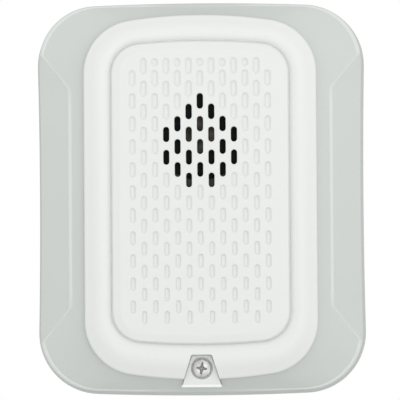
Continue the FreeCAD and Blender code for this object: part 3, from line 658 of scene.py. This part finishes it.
def make_cover():
    """The cover with its notch, screw pad and lip, screw tower and hook pockets."""
    cover = ring_shell("cover", cover_rings(parts_settings()))
    shelf = notch_corners(1.4 * MM, -COVER.half_h + 0.4 * MM)
    combine(cover, block_from("notch_seat", shelf, TAB_BACK, 28.2 * MM, 0.6 * MM), "UNION")
    combine(cover, turned_block("tower", SCREW_AXIS, TOWER), "UNION")
    opening = notch_corners(0.0, NOTCH_BOTTOM - 6 * MM)
    notch = block_from("notch", opening, TAB_FLOOR - 0.45 * MM, CLEAR_OF_FRONT, 0.55 * MM)
    combine(cover, notch, "DIFFERENCE")
    island = notch_corners(-0.1 * MM, NOTCH_BOTTOM)
    combine(cover, block_from("pad", island, TAB_BACK, TAB_FLOOR + 0.02 * MM, 0.9 * MM, 0.4 * MM), "UNION")
    lip = [(-LIP_TOP_HALF, LIP_TOP), (-LIP_BOTTOM_HALF, LIP_BOTTOM),
           (LIP_BOTTOM_HALF, LIP_BOTTOM), (LIP_TOP_HALF, LIP_TOP)]
    combine(cover, block_from("pad_lip", lip, 24.2 * MM, TAB_FLOOR + 0.36 * MM, 0.58 * MM, 0.3 * MM), "UNION")
    for name, profile in (("recess", RECESS), ("clearance", CLEARANCE), ("bore", BORE)):
        combine(cover, turned_block(name, SCREW_AXIS, profile), "DIFFERENCE")
    for middle in (-POCKET_X, POCKET_X):
        low, high = middle - POCKET_HALF, middle + POCKET_HALF
        corners = [(low, POCKET_LOW), (high, POCKET_LOW), (high, POCKET_HIGH), (low, POCKET_HIGH)]
        combine(cover, block_from("pocket", corners, 1 * MM, 9.5 * MM, 0.8 * MM), "DIFFERENCE")
    soften_notch(cover)
    clear_slivers(cover)
    # Painted highlight on the lip under the screw pad.
    paint_lip_highlight(cover)
    smooth(cover)
    return cover


def soften_notch(cover):
    """Rounds the edge where the walls of the notch meet the rim."""
    reach, top, front = 7.5 * MM, -55 * MM, 27.5 * MM
    only(cover)
    bpy.ops.object.mode_set(mode="EDIT")
    bpy.ops.mesh.select_mode(type="EDGE")
    bpy.ops.mesh.select_all(action="DESELECT")
    bm = bmesh.from_edit_mesh(cover.data)
    for edge in bm.edges:
        middle = (edge.verts[0].co + edge.verts[1].co) / 2
        if len(edge.link_faces) != 2 or abs(middle.x) > reach or middle.z > top or -middle.y < front:
            continue
        upright, leaning = sorted(abs(face.normal.y) for face in edge.link_faces)
        if upright < 0.1 and leaning > 0.3:
            edge.select_set(True)
    bmesh.update_edit_mesh(cover.data)
    bpy.ops.mesh.bevel(offset=0.4 * MM, segments=3, affect="EDGES", clamp_overlap=True)
    bpy.ops.object.mode_set(mode="OBJECT")


def paint_lip_highlight(cover):
    """Marks the moulded lip under the screw pad for a painted highlight that lightens its colour."""
    only(cover)
    bpy.ops.object.mode_set(mode="EDIT")
    bm = bmesh.from_edit_mesh(cover.data)
    highlight_layer = bm.verts.layers.float.get("painted_highlight") or bm.verts.layers.float.new("painted_highlight")
    top, reach, front = LIP_TOP + 0.15 * MM, LIP_BOTTOM_HALF + 0.35 * MM, TAB_FLOOR + 0.1 * MM
    for vertex in bm.verts:
        if vertex.co.z < top and abs(vertex.co.x) < reach and -vertex.co.y > front:
            vertex[highlight_layer] = 1.0
    bmesh.update_edit_mesh(cover.data)
    bpy.ops.object.mode_set(mode="OBJECT")


def crease_parts(sizes, outer, inner):
    """How far out each point of the crease ring lies, from 0 at the inner ring to 1 at the outer ring."""
    edge_margin = 0.75 * MM
    parts = []
    for (ox, oz), (ix, iz) in zip(outer, inner):
        ox, oz, ix, iz = abs(ox), abs(oz), abs(ix), abs(iz)
        length = math.hypot(ox - ix, oz - iz)
        limit = 1 - edge_margin / length
        upright = (sizes.crease_x - ix) / max(ox - ix, 1e-9) if ox > sizes.crease_x else 1.0
        start = iz - sizes.crease_z - CREASE_LEAN * (ix - sizes.crease_x)
        end = oz - sizes.crease_z - CREASE_LEAN * (ox - sizes.crease_x)
        slanted = start / (start - end) if start > 0 > end else (0.0 if end <= 0 else 1.0)
        parts.append(min(limit, max(upright, slanted)))
    return parts


def bead_shares(sizes, parts, inner, outer):
    """Share of the bead height: full on the upright crease, nearly so near the outline, small elsewhere."""
    raw = []
    for part, (ix, iz), (ox, oz) in zip(parts, inner, outer):
        x = abs(ix + (ox - ix) * part)
        z = abs(iz + (oz - iz) * part)
        if x < sizes.crease_x + 0.1 * MM and z < sizes.crease_z + 0.5 * MM:
            raw.append(1.0)
        elif part > 0.9:
            raw.append(0.95)
        else:
            raw.append(0.35)
    count = len(raw)
    return [sum(raw[(index + step) % count] for step in (-2, -1, 0, 1, 2)) / 5 for index in range(count)]


def skirt_rings(sizes):
    """Section of the skirt, from its back edge over the crease to its opening and round inside."""
    inner = COVER.ring(-0.05 * MM)
    outer = BODY.ring(SKIRT_DRAFT)
    parts = crease_parts(sizes, outer, inner)
    shares = bead_shares(sizes, parts, inner, outer)
    fall = SKIRT_TOP - sizes.skirt_edge
    nearest = 0.03

    def depth_at(index, part):
        """Depth of the sloping front at one point, lower on the cheeks."""
        ruled = SKIRT_TOP - fall * part
        if part <= parts[index]:
            return ruled
        span = outer[index][0] - inner[index][0]
        run = abs(inner[index][0] + span * part)
        start = abs(inner[index][0] + span * parts[index])
        return min(ruled, SKIRT_TOP - fall * parts[index] - CHEEK_SLOPE * (run - start))

    def front_ring(chosen, lift=0.0):
        """Ring over the sloping front at the chosen part of the way out, lifted by the bead."""
        ring = []
        for index, ((ix, iz), (ox, oz)) in enumerate(zip(inner, outer)):
            part = chosen(index)
            depth = depth_at(index, part) + lift * shares[index]
            ring.append(at(ix + (ox - ix) * part, iz + (oz - iz) * part, depth))
        return ring

    def step_out(index, distance):
        """Place at a distance outwards from the crease."""
        length = math.hypot(outer[index][0] - inner[index][0], outer[index][1] - inner[index][1])
        return min(max(parts[index] + distance / length, 0.04), 0.998)

    def outside(index, share):
        """Place part of the way from the bead to the front edge."""
        start = step_out(index, 0.7 * MM)
        return start + (max(start, 0.985) - start) * share

    def inside(index, share):
        """Place part of the way from the opening to the bead."""
        return nearest + (step_out(index, -0.7 * MM) - nearest) * share

    chamfer = 0.35 * MM
    rings = stack(BODY, [(chamfer, SKIRT_BACK), (0.0, SKIRT_BACK + chamfer)])
    edge = front_ring(lambda index: 1.0)
    for inset, drop in ((SKIRT_DRAFT * 0.93, 0.8 * MM), (SKIRT_DRAFT + 0.08 * MM, 0.25 * MM),
                        (SKIRT_DRAFT + 0.4 * MM, 0.02 * MM)):
        rings.append([at(x, z, -point.y - drop) for (x, z), point in zip(BODY.ring(inset), edge)])
    for share in (0.66, 0.33):
        rings.append(front_ring(lambda index, share=share: outside(index, share)))
    painted_highlight = {}
    # Painted highlight along the bead: the skirt's colour is lightened in step with the bead's height.
    for distance, lift in BEAD:
        painted_highlight[len(rings)] = [share * min(1.0, 1.6 * lift) for share in shares]
        rings.append(front_ring(lambda index, out=distance * MM: step_out(index, out), lift * sizes.bead))
    for share in (0.66, 0.33, 0.0):
        rings.append(front_ring(lambda index, share=share: inside(index, share)))
    rings += [laid(inner, SKIRT_TOP - 0.1 * MM), laid(inner, SKIRT_TOP - SKIRT_WALL)]
    rings += stack(BODY, [(SKIRT_DRAFT + SKIRT_WALL, sizes.skirt_edge - SKIRT_WALL),
                          (SKIRT_WALL, SKIRT_BACK)])
    return rings, painted_highlight


def make_skirt():
    """The skirt with the notch and the hole for the screw tower."""
    rings, painted_highlight = skirt_rings(parts_settings())
    skirt = ring_shell("skirt", rings, painted_highlight)
    gap = 0.04 * MM
    opening = notch_corners(gap, NOTCH_BOTTOM - gap)
    combine(skirt, block_from("skirt_notch", opening, 10 * MM, CLEAR_OF_FRONT, 0.9 * MM), "DIFFERENCE")
    combine(skirt, turned_block("skirt_hole", SCREW_AXIS, SKIRT_HOLE), "DIFFERENCE")
    smooth(skirt, 28)
    return skirt


def slot_places():
    """Every slot of the grille as (x, z, width, length, is_open)."""
    places = []
    for column in range(-6, 7):
        odd = column % 2 == 1
        x = column * COLUMN_STEP
        first, last = OPEN_ROWS.get(abs(column), (1, 0))
        for row in range(12 if odd else 11):
            z = (ODD_TOP if odd else EVEN_TOP) - row * ROW_STEP
            part = (ODD_TOP - z) / FIELD_HEIGHT
            places.append((x, z, 2.35 - 0.65 * part, 5.8 - 1.3 * part, first <= row <= last))
        if not odd and abs(column) < 6:
            places.append((x, 48.1, 2.35, 2.9, False))
    return [(x * MM, z * MM, width * MM, length * MM, is_open) for x, z, width, length, is_open in places]


def slot_ring(grow, depth):
    """Ring of an upright slot with round ends, centred on the origin."""
    radius = SLOT_WIDTH / 2 + grow
    reach = (SLOT_LENGTH - SLOT_WIDTH) / 2
    ring = []
    for end, start in ((1, 0.0), (-1, math.pi)):
        for step in range(SLOT_STEPS):
            angle = start + math.pi * step / (SLOT_STEPS - 1)
            ring.append(at(radius * math.cos(angle), end * reach + radius * math.sin(angle), depth))
    return ring


def slot_cutter(is_open, slot_depth):
    """Tool for one slot: a rounded trough or a straight opening, either with a softened mouth."""
    if is_open:
        steps = [(0.0, 28.0 * MM), (0.0, PANEL_FRONT - 0.25 * MM)]
    else:
        floor = PANEL_FRONT - slot_depth
        steps = [(-0.56 * MM, floor), (-0.44 * MM, floor + 0.05 * MM), (-0.08 * MM, PANEL_FRONT - 0.22 * MM)]
    for grow, rise in ((0.04, -0.1), (0.15, -0.02), (0.26, 0.02), (0.26, 0.5)):
        steps.append((grow * MM, PANEL_FRONT + rise * MM))
    return capped_block("slot_cutter", [slot_ring(grow, depth) for grow, depth in steps])


def make_grille():
    """The grille panel with its slots."""
    sizes = parts_settings()
    half_reveal = sizes.reveal / 2
    hollow = half_reveal + 4 * MM
    fillet = 0.06 * MM
    rings = stack(PANEL, [(hollow, PANEL_BACK + 0.6 * MM), (hollow, PANEL_BACK), (0.0, PANEL_BACK),
                          (0.0, GROOVE_FLOOR), (fillet, GROOVE_FLOOR + fillet)])
    rings += edge_round(PANEL, half_reveal, PANEL_FRONT - 0.38 * MM, 0.4 * MM, 4)
    rings += stack(PANEL, [(half_reveal + inset * MM, PANEL_FRONT - drop * MM)
                           for inset, drop in ((1.4, 0.2), (2.3, 0.1), (2.65, 0.03), (3.0, 0.0))])
    grille = capped_block("grille", rings)
    half_bar = (SLOT_LENGTH - SLOT_WIDTH) / 2
    cutters = []
    for is_open in (False, True):
        first = slot_cutter(is_open, sizes.slot_depth)
        for x, z, width, length, opened in slot_places():
            if opened != is_open:
                continue
            copy = first.copy()
            copy.data = first.data.copy()
            bpy.context.collection.objects.link(copy)
            for vertex in copy.data.vertices:
                end = math.copysign(1.0, vertex.co.z)
                tip = vertex.co.z - end * half_bar
                vertex.co.x = x + vertex.co.x * width / SLOT_WIDTH
                vertex.co.z = z + end * (length - width) / 2 + tip * width / SLOT_WIDTH
            cutters.append(copy)
        bpy.data.objects.remove(first)
    deselect()
    for cutter in cutters:
        cutter.select_set(True)
    bpy.context.view_layer.objects.active = cutters[0]
    bpy.ops.object.join()
    combine(grille, bpy.context.object, "DIFFERENCE")
    smooth(grille, 40)
    return grille


def cross_cutter(turn):
    """Tapered cross that leaves the driver recess of the screw."""
    blades = []
    for quarter, reach in enumerate(CROSS_REACH):
        angle = turn + quarter * math.pi / 2
        rings = []
        for rise, shrink in ((-1.5, 0.3), (-1.1, 0.7), (0.3, 1.06)):
            long, wide = reach * shrink, CROSS_HALF_WIDE * (0.6 + 0.4 * shrink)
            tip = wide * 0.42
            corners = [(-long, -tip), (0.0, -wide), (long, -tip), (long, tip), (0.0, wide), (-long, tip)]
            turned = [(SCREW_AXIS[0] + x * math.cos(angle) - z * math.sin(angle),
                       SCREW_AXIS[1] + x * math.sin(angle) + z * math.cos(angle)) for x, z in corners]
            rings.append(laid(turned, SCREW_TOP + rise * MM))
        blades.append(capped_block("blade", rings))
    combine(blades[0], blades[1], "UNION")
    hub = [(radius * MM, SCREW_TOP + rise * MM) for radius, rise in ((0.3, -1.6), (0.8, -1.1), (1.02, 0.3))]
    combine(blades[0], turned_block("hub", SCREW_AXIS, hub, 16), "UNION")
    return blades[0]


def screw_thread(low, high):
    """Helical ridge made by winding a small triangle up the shank."""
    deselect()
    bpy.ops.mesh.primitive_circle_add(vertices=3, radius=PITCH / 3, fill_type="NOTHING")
    ridge = bpy.context.object
    ridge.name = "thread"
    root_r = CORE_R - 0.05 * MM
    profile = [(root_r, -0.46), (THREAD_R, 0.0), (root_r, 0.46)]
    for vertex, (radius, along) in zip(ridge.data.vertices, profile):
        vertex.co = (radius, 0.0, along * PITCH)
    winding = ridge.modifiers.new("Thread", "SCREW")
    winding.axis = "Z"
    winding.screw_offset = PITCH
    winding.iterations = int((high - low) / PITCH) - 1
    winding.steps = 24
    winding.render_steps = 24
    only(ridge)
    bpy.ops.object.modifier_apply(modifier=winding.name)
    bpy.ops.object.mode_set(mode="EDIT")
    bpy.ops.mesh.select_all(action="SELECT")
    bpy.ops.mesh.fill_holes(sides=3)
    close_up(ridge)
    stand = Matrix.Rotation(math.pi / 2, 4, "X")
    ridge.data.transform(Matrix.Translation(at(*SCREW_AXIS, low + PITCH)) @ stand)
    return ridge


def make_cover_screw():
    """The screw: pan head with its cross recess, shank and thread."""
    head_r = (SCREW_HIGH.x - SCREW_LOW.x) / 2
    shoulder = SCREW_TOP - 0.78 * MM
    chamfer = 0.15 * MM
    profile = [(0.9 * MM, SCREW_TIP), (CORE_R, SCREW_TIP + 0.8 * MM), (CORE_R, HEAD_SEAT),
               (head_r - chamfer, HEAD_SEAT), (head_r, HEAD_SEAT + chamfer), (head_r, shoulder)]
    for step in range(1, 7):
        angle = math.pi / 2 * step / 6
        profile.append((head_r - 0.3 * MM * (1 - math.cos(angle)), shoulder + 0.36 * MM * math.sin(angle)))
    for radius, drop in ((2.4, 0.2), (1.8, 0.12), (1.0, 0.06), (0.4, 0.01)):
        profile.append((radius * MM, SCREW_TOP - drop * MM))
    screw = turned_block("cover_screw", SCREW_AXIS, profile, 64)
    combine(screw, cross_cutter(-parts_settings().screw_turn), "DIFFERENCE")
    combine(screw, screw_thread(SCREW_TIP + 0.4 * MM, SCREW_TIP + 9.5 * MM), "UNION")
    clear_slivers(screw)
    smooth(screw, 30)
    return screw


def paint_recess_shade(screw):
    """Paints shade into the cross recess: its walls get a darker, duller zinc than the head."""
    reach, floor, mouth = 2.35 * MM, SCREW_TOP - 2.1 * MM, SCREW_TOP - 0.28 * MM
    screw.data.materials.append(plated_metal("shade_dark_zinc", (0.5, 0.5, 0.5), 0.62))
    for face in screw.data.polygons:
        radius = math.hypot(face.center.x - SCREW_AXIS[0], face.center.z - SCREW_AXIS[1])
        if radius < reach and floor < -face.center.y < mouth:
            face.material_index = 1


def finish_cad(name, material):
    """Gives a CAD node its finish."""
    part = frame["nodes"][name]
    part.data.materials.clear()
    part.data.materials.append(material)


class SIREN_OT_skirt(bpy.types.Operator):
    """Model the grey skirt with its cheeks and crease"""
    bl_idname = "siren.skirt"
    bl_label = "Skirt"

    def execute(self, context):
        colour = finish_settings().skirt_colour
        material = moulded_plastic("skirt_grey", colour, 0.42, 0.03)
        # Painted highlight: the skirt's colour is lightened along the crease bead.
        paint_highlight(material)
        put(make_skirt(), "appliance", "skirt_plastic", material, "trim_skirt")
        return {"FINISHED"}


class SIREN_OT_cover(bpy.types.Operator):
    """Model the white cover with its rim, notch and pad"""
    bl_idname = "siren.cover"
    bl_label = "Cover"

    def execute(self, context):
        colour = finish_settings().cover_colour
        material = moulded_plastic("cover_white", colour, 0.42, 0.02)
        # Painted highlight: the cover's colour is lightened on the lip under the screw pad.
        paint_highlight(material)
        put(make_cover(), "appliance", "cover_plastic", material, "front_cover")
        return {"FINISHED"}


class SIREN_OT_grille(bpy.types.Operator):
    """Model the grille panel and cut its slots"""
    bl_idname = "siren.grille"
    bl_label = "Grille panel"

    def execute(self, context):
        material = moulded_plastic("panel_white", finish_settings().panel_colour, 0.4, 0.02)
        put(make_grille(), "appliance", "panel_plastic", material, "grille_panel")
        return {"FINISHED"}


class SIREN_OT_cover_screw(bpy.types.Operator):
    """Model the captive screw with its cross recess and thread"""
    bl_idname = "siren.cover_screw"
    bl_label = "Cover screw"

    def execute(self, context):
        material = plated_metal("zinc_screw", (0.78, 0.78, 0.77), 0.5, tone=0.35)
        screw = make_cover_screw()
        put(screw, "cover_screw", "steel", material, "captive_screw")
        # Painted shade: the walls of the cross recess get a darker zinc.
        paint_recess_shade(screw)
        return {"FINISHED"}


class SIREN_OT_inner_parts(bpy.types.Operator):
    """Give the plate, the back and the parts inside their finishes"""
    bl_idname = "siren.inner_parts"
    bl_label = "Inner parts"

    def execute(self, context):
        finishes = {
            "plate_plastic": moulded_plastic("plate_white", (0.76, 0.77, 0.74), 0.5, 0.05, 2600.0),
            "dark_plastic": moulded_plastic("black_nylon", (0.007, 0.007, 0.008), 0.6, 0.2, 2600.0),
            "switch_plastic": moulded_plastic("blue_switch", (0.02, 0.07, 0.24), 0.4, 0.15),
            "rotor_plastic": moulded_plastic("cream_rotor", (0.72, 0.68, 0.55), 0.4, 0.08),
            "nylon": moulded_plastic("natural_nylon", (0.68, 0.66, 0.56), 0.35, 0.08),
            "brass": plated_metal("drawn_brass", (0.80, 0.62, 0.30), 0.3, (1, 1, 1), 0.25),
            "tinned_bronze": plated_metal("tin_plate", (0.74, 0.73, 0.70), 0.34, (1, 1, 6), 0.15),
            "steel": plated_metal("zinc_plate", (0.72, 0.74, 0.76), 0.3, (1, 1, 1), 0.2),
            "copper": plated_metal("enamelled_copper", (0.72, 0.30, 0.12), 0.3, (1, 14, 1), 0.35),
            "ceramic": moulded_plastic("silvered_ceramic", (0.72, 0.71, 0.66), 0.35, 0.1),
            "ceramic_chip": moulded_plastic("chip_black", (0.03, 0.03, 0.035), 0.3, 0.3),
            "ferrite": moulded_plastic("ferrite_grey", (0.05, 0.05, 0.055), 0.6, 0.4, 1800.0, 0.03),
            "board_laminate": moulded_plastic("solder_mask", (0.012, 0.12, 0.035), 0.28, 0.35, 900.0, 0.02),
            "capacitor_sleeve": moulded_plastic("shrink_sleeve", (0.02, 0.03, 0.07), 0.25, 0.2),
            "film_case": moulded_plastic("dipped_film", (0.42, 0.05, 0.03), 0.25, 0.2),
            "foam": moulded_plastic("closed_foam", (0.03, 0.03, 0.03), 0.85, 0.5, 1400.0, 0.15),
            "label": moulded_plastic("silver_label", (0.66, 0.68, 0.69), 0.35, 0.05, 5000.0, 0.004),
        }
        replaced = {"trim_skirt", "front_cover", "grille_panel", "captive_screw"}
        for entry in frame["record"]["subparts"]:
            if entry["node"] not in replaced:
                finish_cad(entry["node"], finishes[entry["material_slot"]])
        for item in finishes["dark_plastic"].node_tree.nodes:
            if item.type == "BSDF_PRINCIPLED":
                item.inputs["Specular IOR Level"].default_value = 0.2
        # The sounder diaphragm's brass is painted nearly black: painted shade for the dark inside seen
        # through the open slots.
        finish_cad("sounder_diaphragm", plated_metal("shade_dark_brass", (0.05, 0.047, 0.04), 0.3, (1, 1, 1), 0.7))
        return {"FINISHED"}


class SIREN_OT_stage(bpy.types.Operator):
    """Lay the pale floor and set the light, the surround and the camera"""
    bl_idname = "siren.stage"
    bl_label = "Stage"

    def execute(self, context):
        finish = finish_settings()
        lay_floor()
        set_surround(finish.sky_strength)
        add_light("key", (0.3, -1.75, -0.05), 0.9, finish.key_watts)
        place_camera()
        context.scene.view_settings.view_transform = "Standard"
        return {"FINISHED"}


def lay_floor():
    """Pale floor below and behind the object."""
    deselect()
    bpy.ops.mesh.primitive_grid_add(x_subdivisions=8, y_subdivisions=8, size=0.9, location=(0, 0.05, -0.16))
    floor = bpy.context.object
    floor.name = "floor"
    floor.data.materials.append(moulded_plastic("floor_pale", (0.88, 0.88, 0.875), 0.7, 0.03, 400.0))


def set_surround(strength):
    """White surround that is a little brighter from the front, from below and from the right."""
    world = bpy.data.worlds.new("surround")
    bpy.context.scene.world = world
    world.use_nodes = True
    tree = world.node_tree
    tree.nodes.clear()
    output = node(tree, "ShaderNodeOutputWorld", 400, 0)
    lit = node(tree, "ShaderNodeBackground", 0, 100)
    lit.inputs["Strength"].default_value = strength
    direction = node(tree, "ShaderNodeTexCoord", -900, 100)
    split = node(tree, "ShaderNodeSeparateXYZ", -700, 100)
    gradients = (("Y", 0.35, -0.3, 0.6, 1.0), ("Z", -1.0, 1.0, 1.42, 1.0), ("X", -1.0, 1.0, 0.93, 1.0))
    ramps = []
    for number, (axis, *limits) in enumerate(gradients):
        ramp = node(tree, "ShaderNodeMapRange", -500, 100 - 250 * number)
        for label, value in zip(("From Min", "From Max", "To Min", "To Max"), limits):
            ramp.inputs[label].default_value = value
        tree.links.new(split.outputs[axis], ramp.inputs["Value"])
        ramps.append(ramp)
    product = node(tree, "ShaderNodeMath", -280, 50, operation="MULTIPLY")
    whole = node(tree, "ShaderNodeMath", -140, 50, operation="MULTIPLY")
    tree.links.new(direction.outputs["Generated"], split.inputs["Vector"])
    tree.links.new(ramps[0].outputs["Result"], product.inputs[0])
    tree.links.new(ramps[1].outputs["Result"], product.inputs[1])
    tree.links.new(product.outputs[0], whole.inputs[0])
    tree.links.new(ramps[2].outputs["Result"], whole.inputs[1])
    tree.links.new(whole.outputs[0], lit.inputs["Color"])
    seen = node(tree, "ShaderNodeBackground", 0, -100)
    seen.inputs["Color"].default_value = (1.0, 1.0, 1.0, 1.0)
    seen.inputs["Strength"].default_value = 1.0
    path = node(tree, "ShaderNodeLightPath", -250, 250)
    mix = node(tree, "ShaderNodeMixShader", 200, 0)
    tree.links.new(path.outputs["Is Camera Ray"], mix.inputs["Fac"])
    tree.links.new(lit.outputs["Background"], mix.inputs[1])
    tree.links.new(seen.outputs["Background"], mix.inputs[2])
    tree.links.new(mix.outputs["Shader"], output.inputs["Surface"])


def add_light(name, place, size, watts):
    """Square area light that faces the origin."""
    data = bpy.data.lights.new(name, "AREA")
    data.shape = "SQUARE"
    data.size = size
    data.energy = watts
    light = bpy.data.objects.new(name, data)
    light.location = place
    light.rotation_euler = (-Vector(place)).to_track_quat("-Z", "Y").to_euler()
    bpy.context.collection.objects.link(light)


def place_camera():
    """Camera in front of the object, a little from the right and from below."""
    azimuth = math.radians(0.9)
    elevation = math.radians(-1.9)
    roll = math.radians(-0.38)
    target = Vector((-0.66 * MM, 0.0, -0.18 * MM))
    level = math.cos(elevation)
    away = Vector((math.sin(azimuth) * level, -math.cos(azimuth) * level, math.sin(elevation)))
    data = bpy.data.cameras.new("camera")
    data.sensor_width = SENSOR
    data.lens = SENSOR * CAMERA_DISTANCE / VIEW_WIDTH
    camera = bpy.data.objects.new("camera", data)
    bpy.context.collection.objects.link(camera)
    camera.location = target + away * CAMERA_DISTANCE
    look = (-away).to_track_quat("-Z", "Y").to_matrix().to_4x4()
    camera.rotation_euler = (look @ Matrix.Rotation(roll, 4, "Z")).to_euler()
    bpy.context.scene.camera = camera


OPERATORS = (SIREN_OT_skirt, SIREN_OT_cover, SIREN_OT_grille,
             SIREN_OT_cover_screw, SIREN_OT_inner_parts, SIREN_OT_stage)


class SIREN_PT_panel(bpy.types.Panel):
    """Sidebar panel with the sizes, the finishes and one button for each piece"""
    bl_idname = "SIREN_PT_panel"
    bl_label = "Wall Alarm Siren"
    bl_space_type = "VIEW_3D"
    bl_region_type = "UI"
    bl_category = "Siren"

    def draw(self, context):
        for group in (context.scene.siren_sizes, context.scene.siren_finish):
            for name in group.__annotations__:
                self.layout.prop(group, name)
        for operator in OPERATORS:
            self.layout.operator(operator.bl_idname)


CLASSES = (SirenSizes, SirenFinish) + OPERATORS + (SIREN_PT_panel,)


def register():
    """Registers the classes and hangs the settings on the scene."""
    for item in CLASSES:
        bpy.utils.register_class(item)
    bpy.types.Scene.siren_sizes = bpy.props.PointerProperty(type=SirenSizes)
    bpy.types.Scene.siren_finish = bpy.props.PointerProperty(type=SirenFinish)


def unregister():
    """Takes the settings and the classes away again."""
    del bpy.types.Scene.siren_finish
    del bpy.types.Scene.siren_sizes
    for item in reversed(CLASSES):
        bpy.utils.unregister_class(item)


def main():
    register()
    bpy.ops.siren.skirt()
    bpy.ops.siren.cover()
    bpy.ops.siren.grille()
    bpy.ops.siren.cover_screw()
    bpy.ops.siren.inner_parts()
    bpy.ops.siren.stage()


if __name__ == "__main__":
    main()
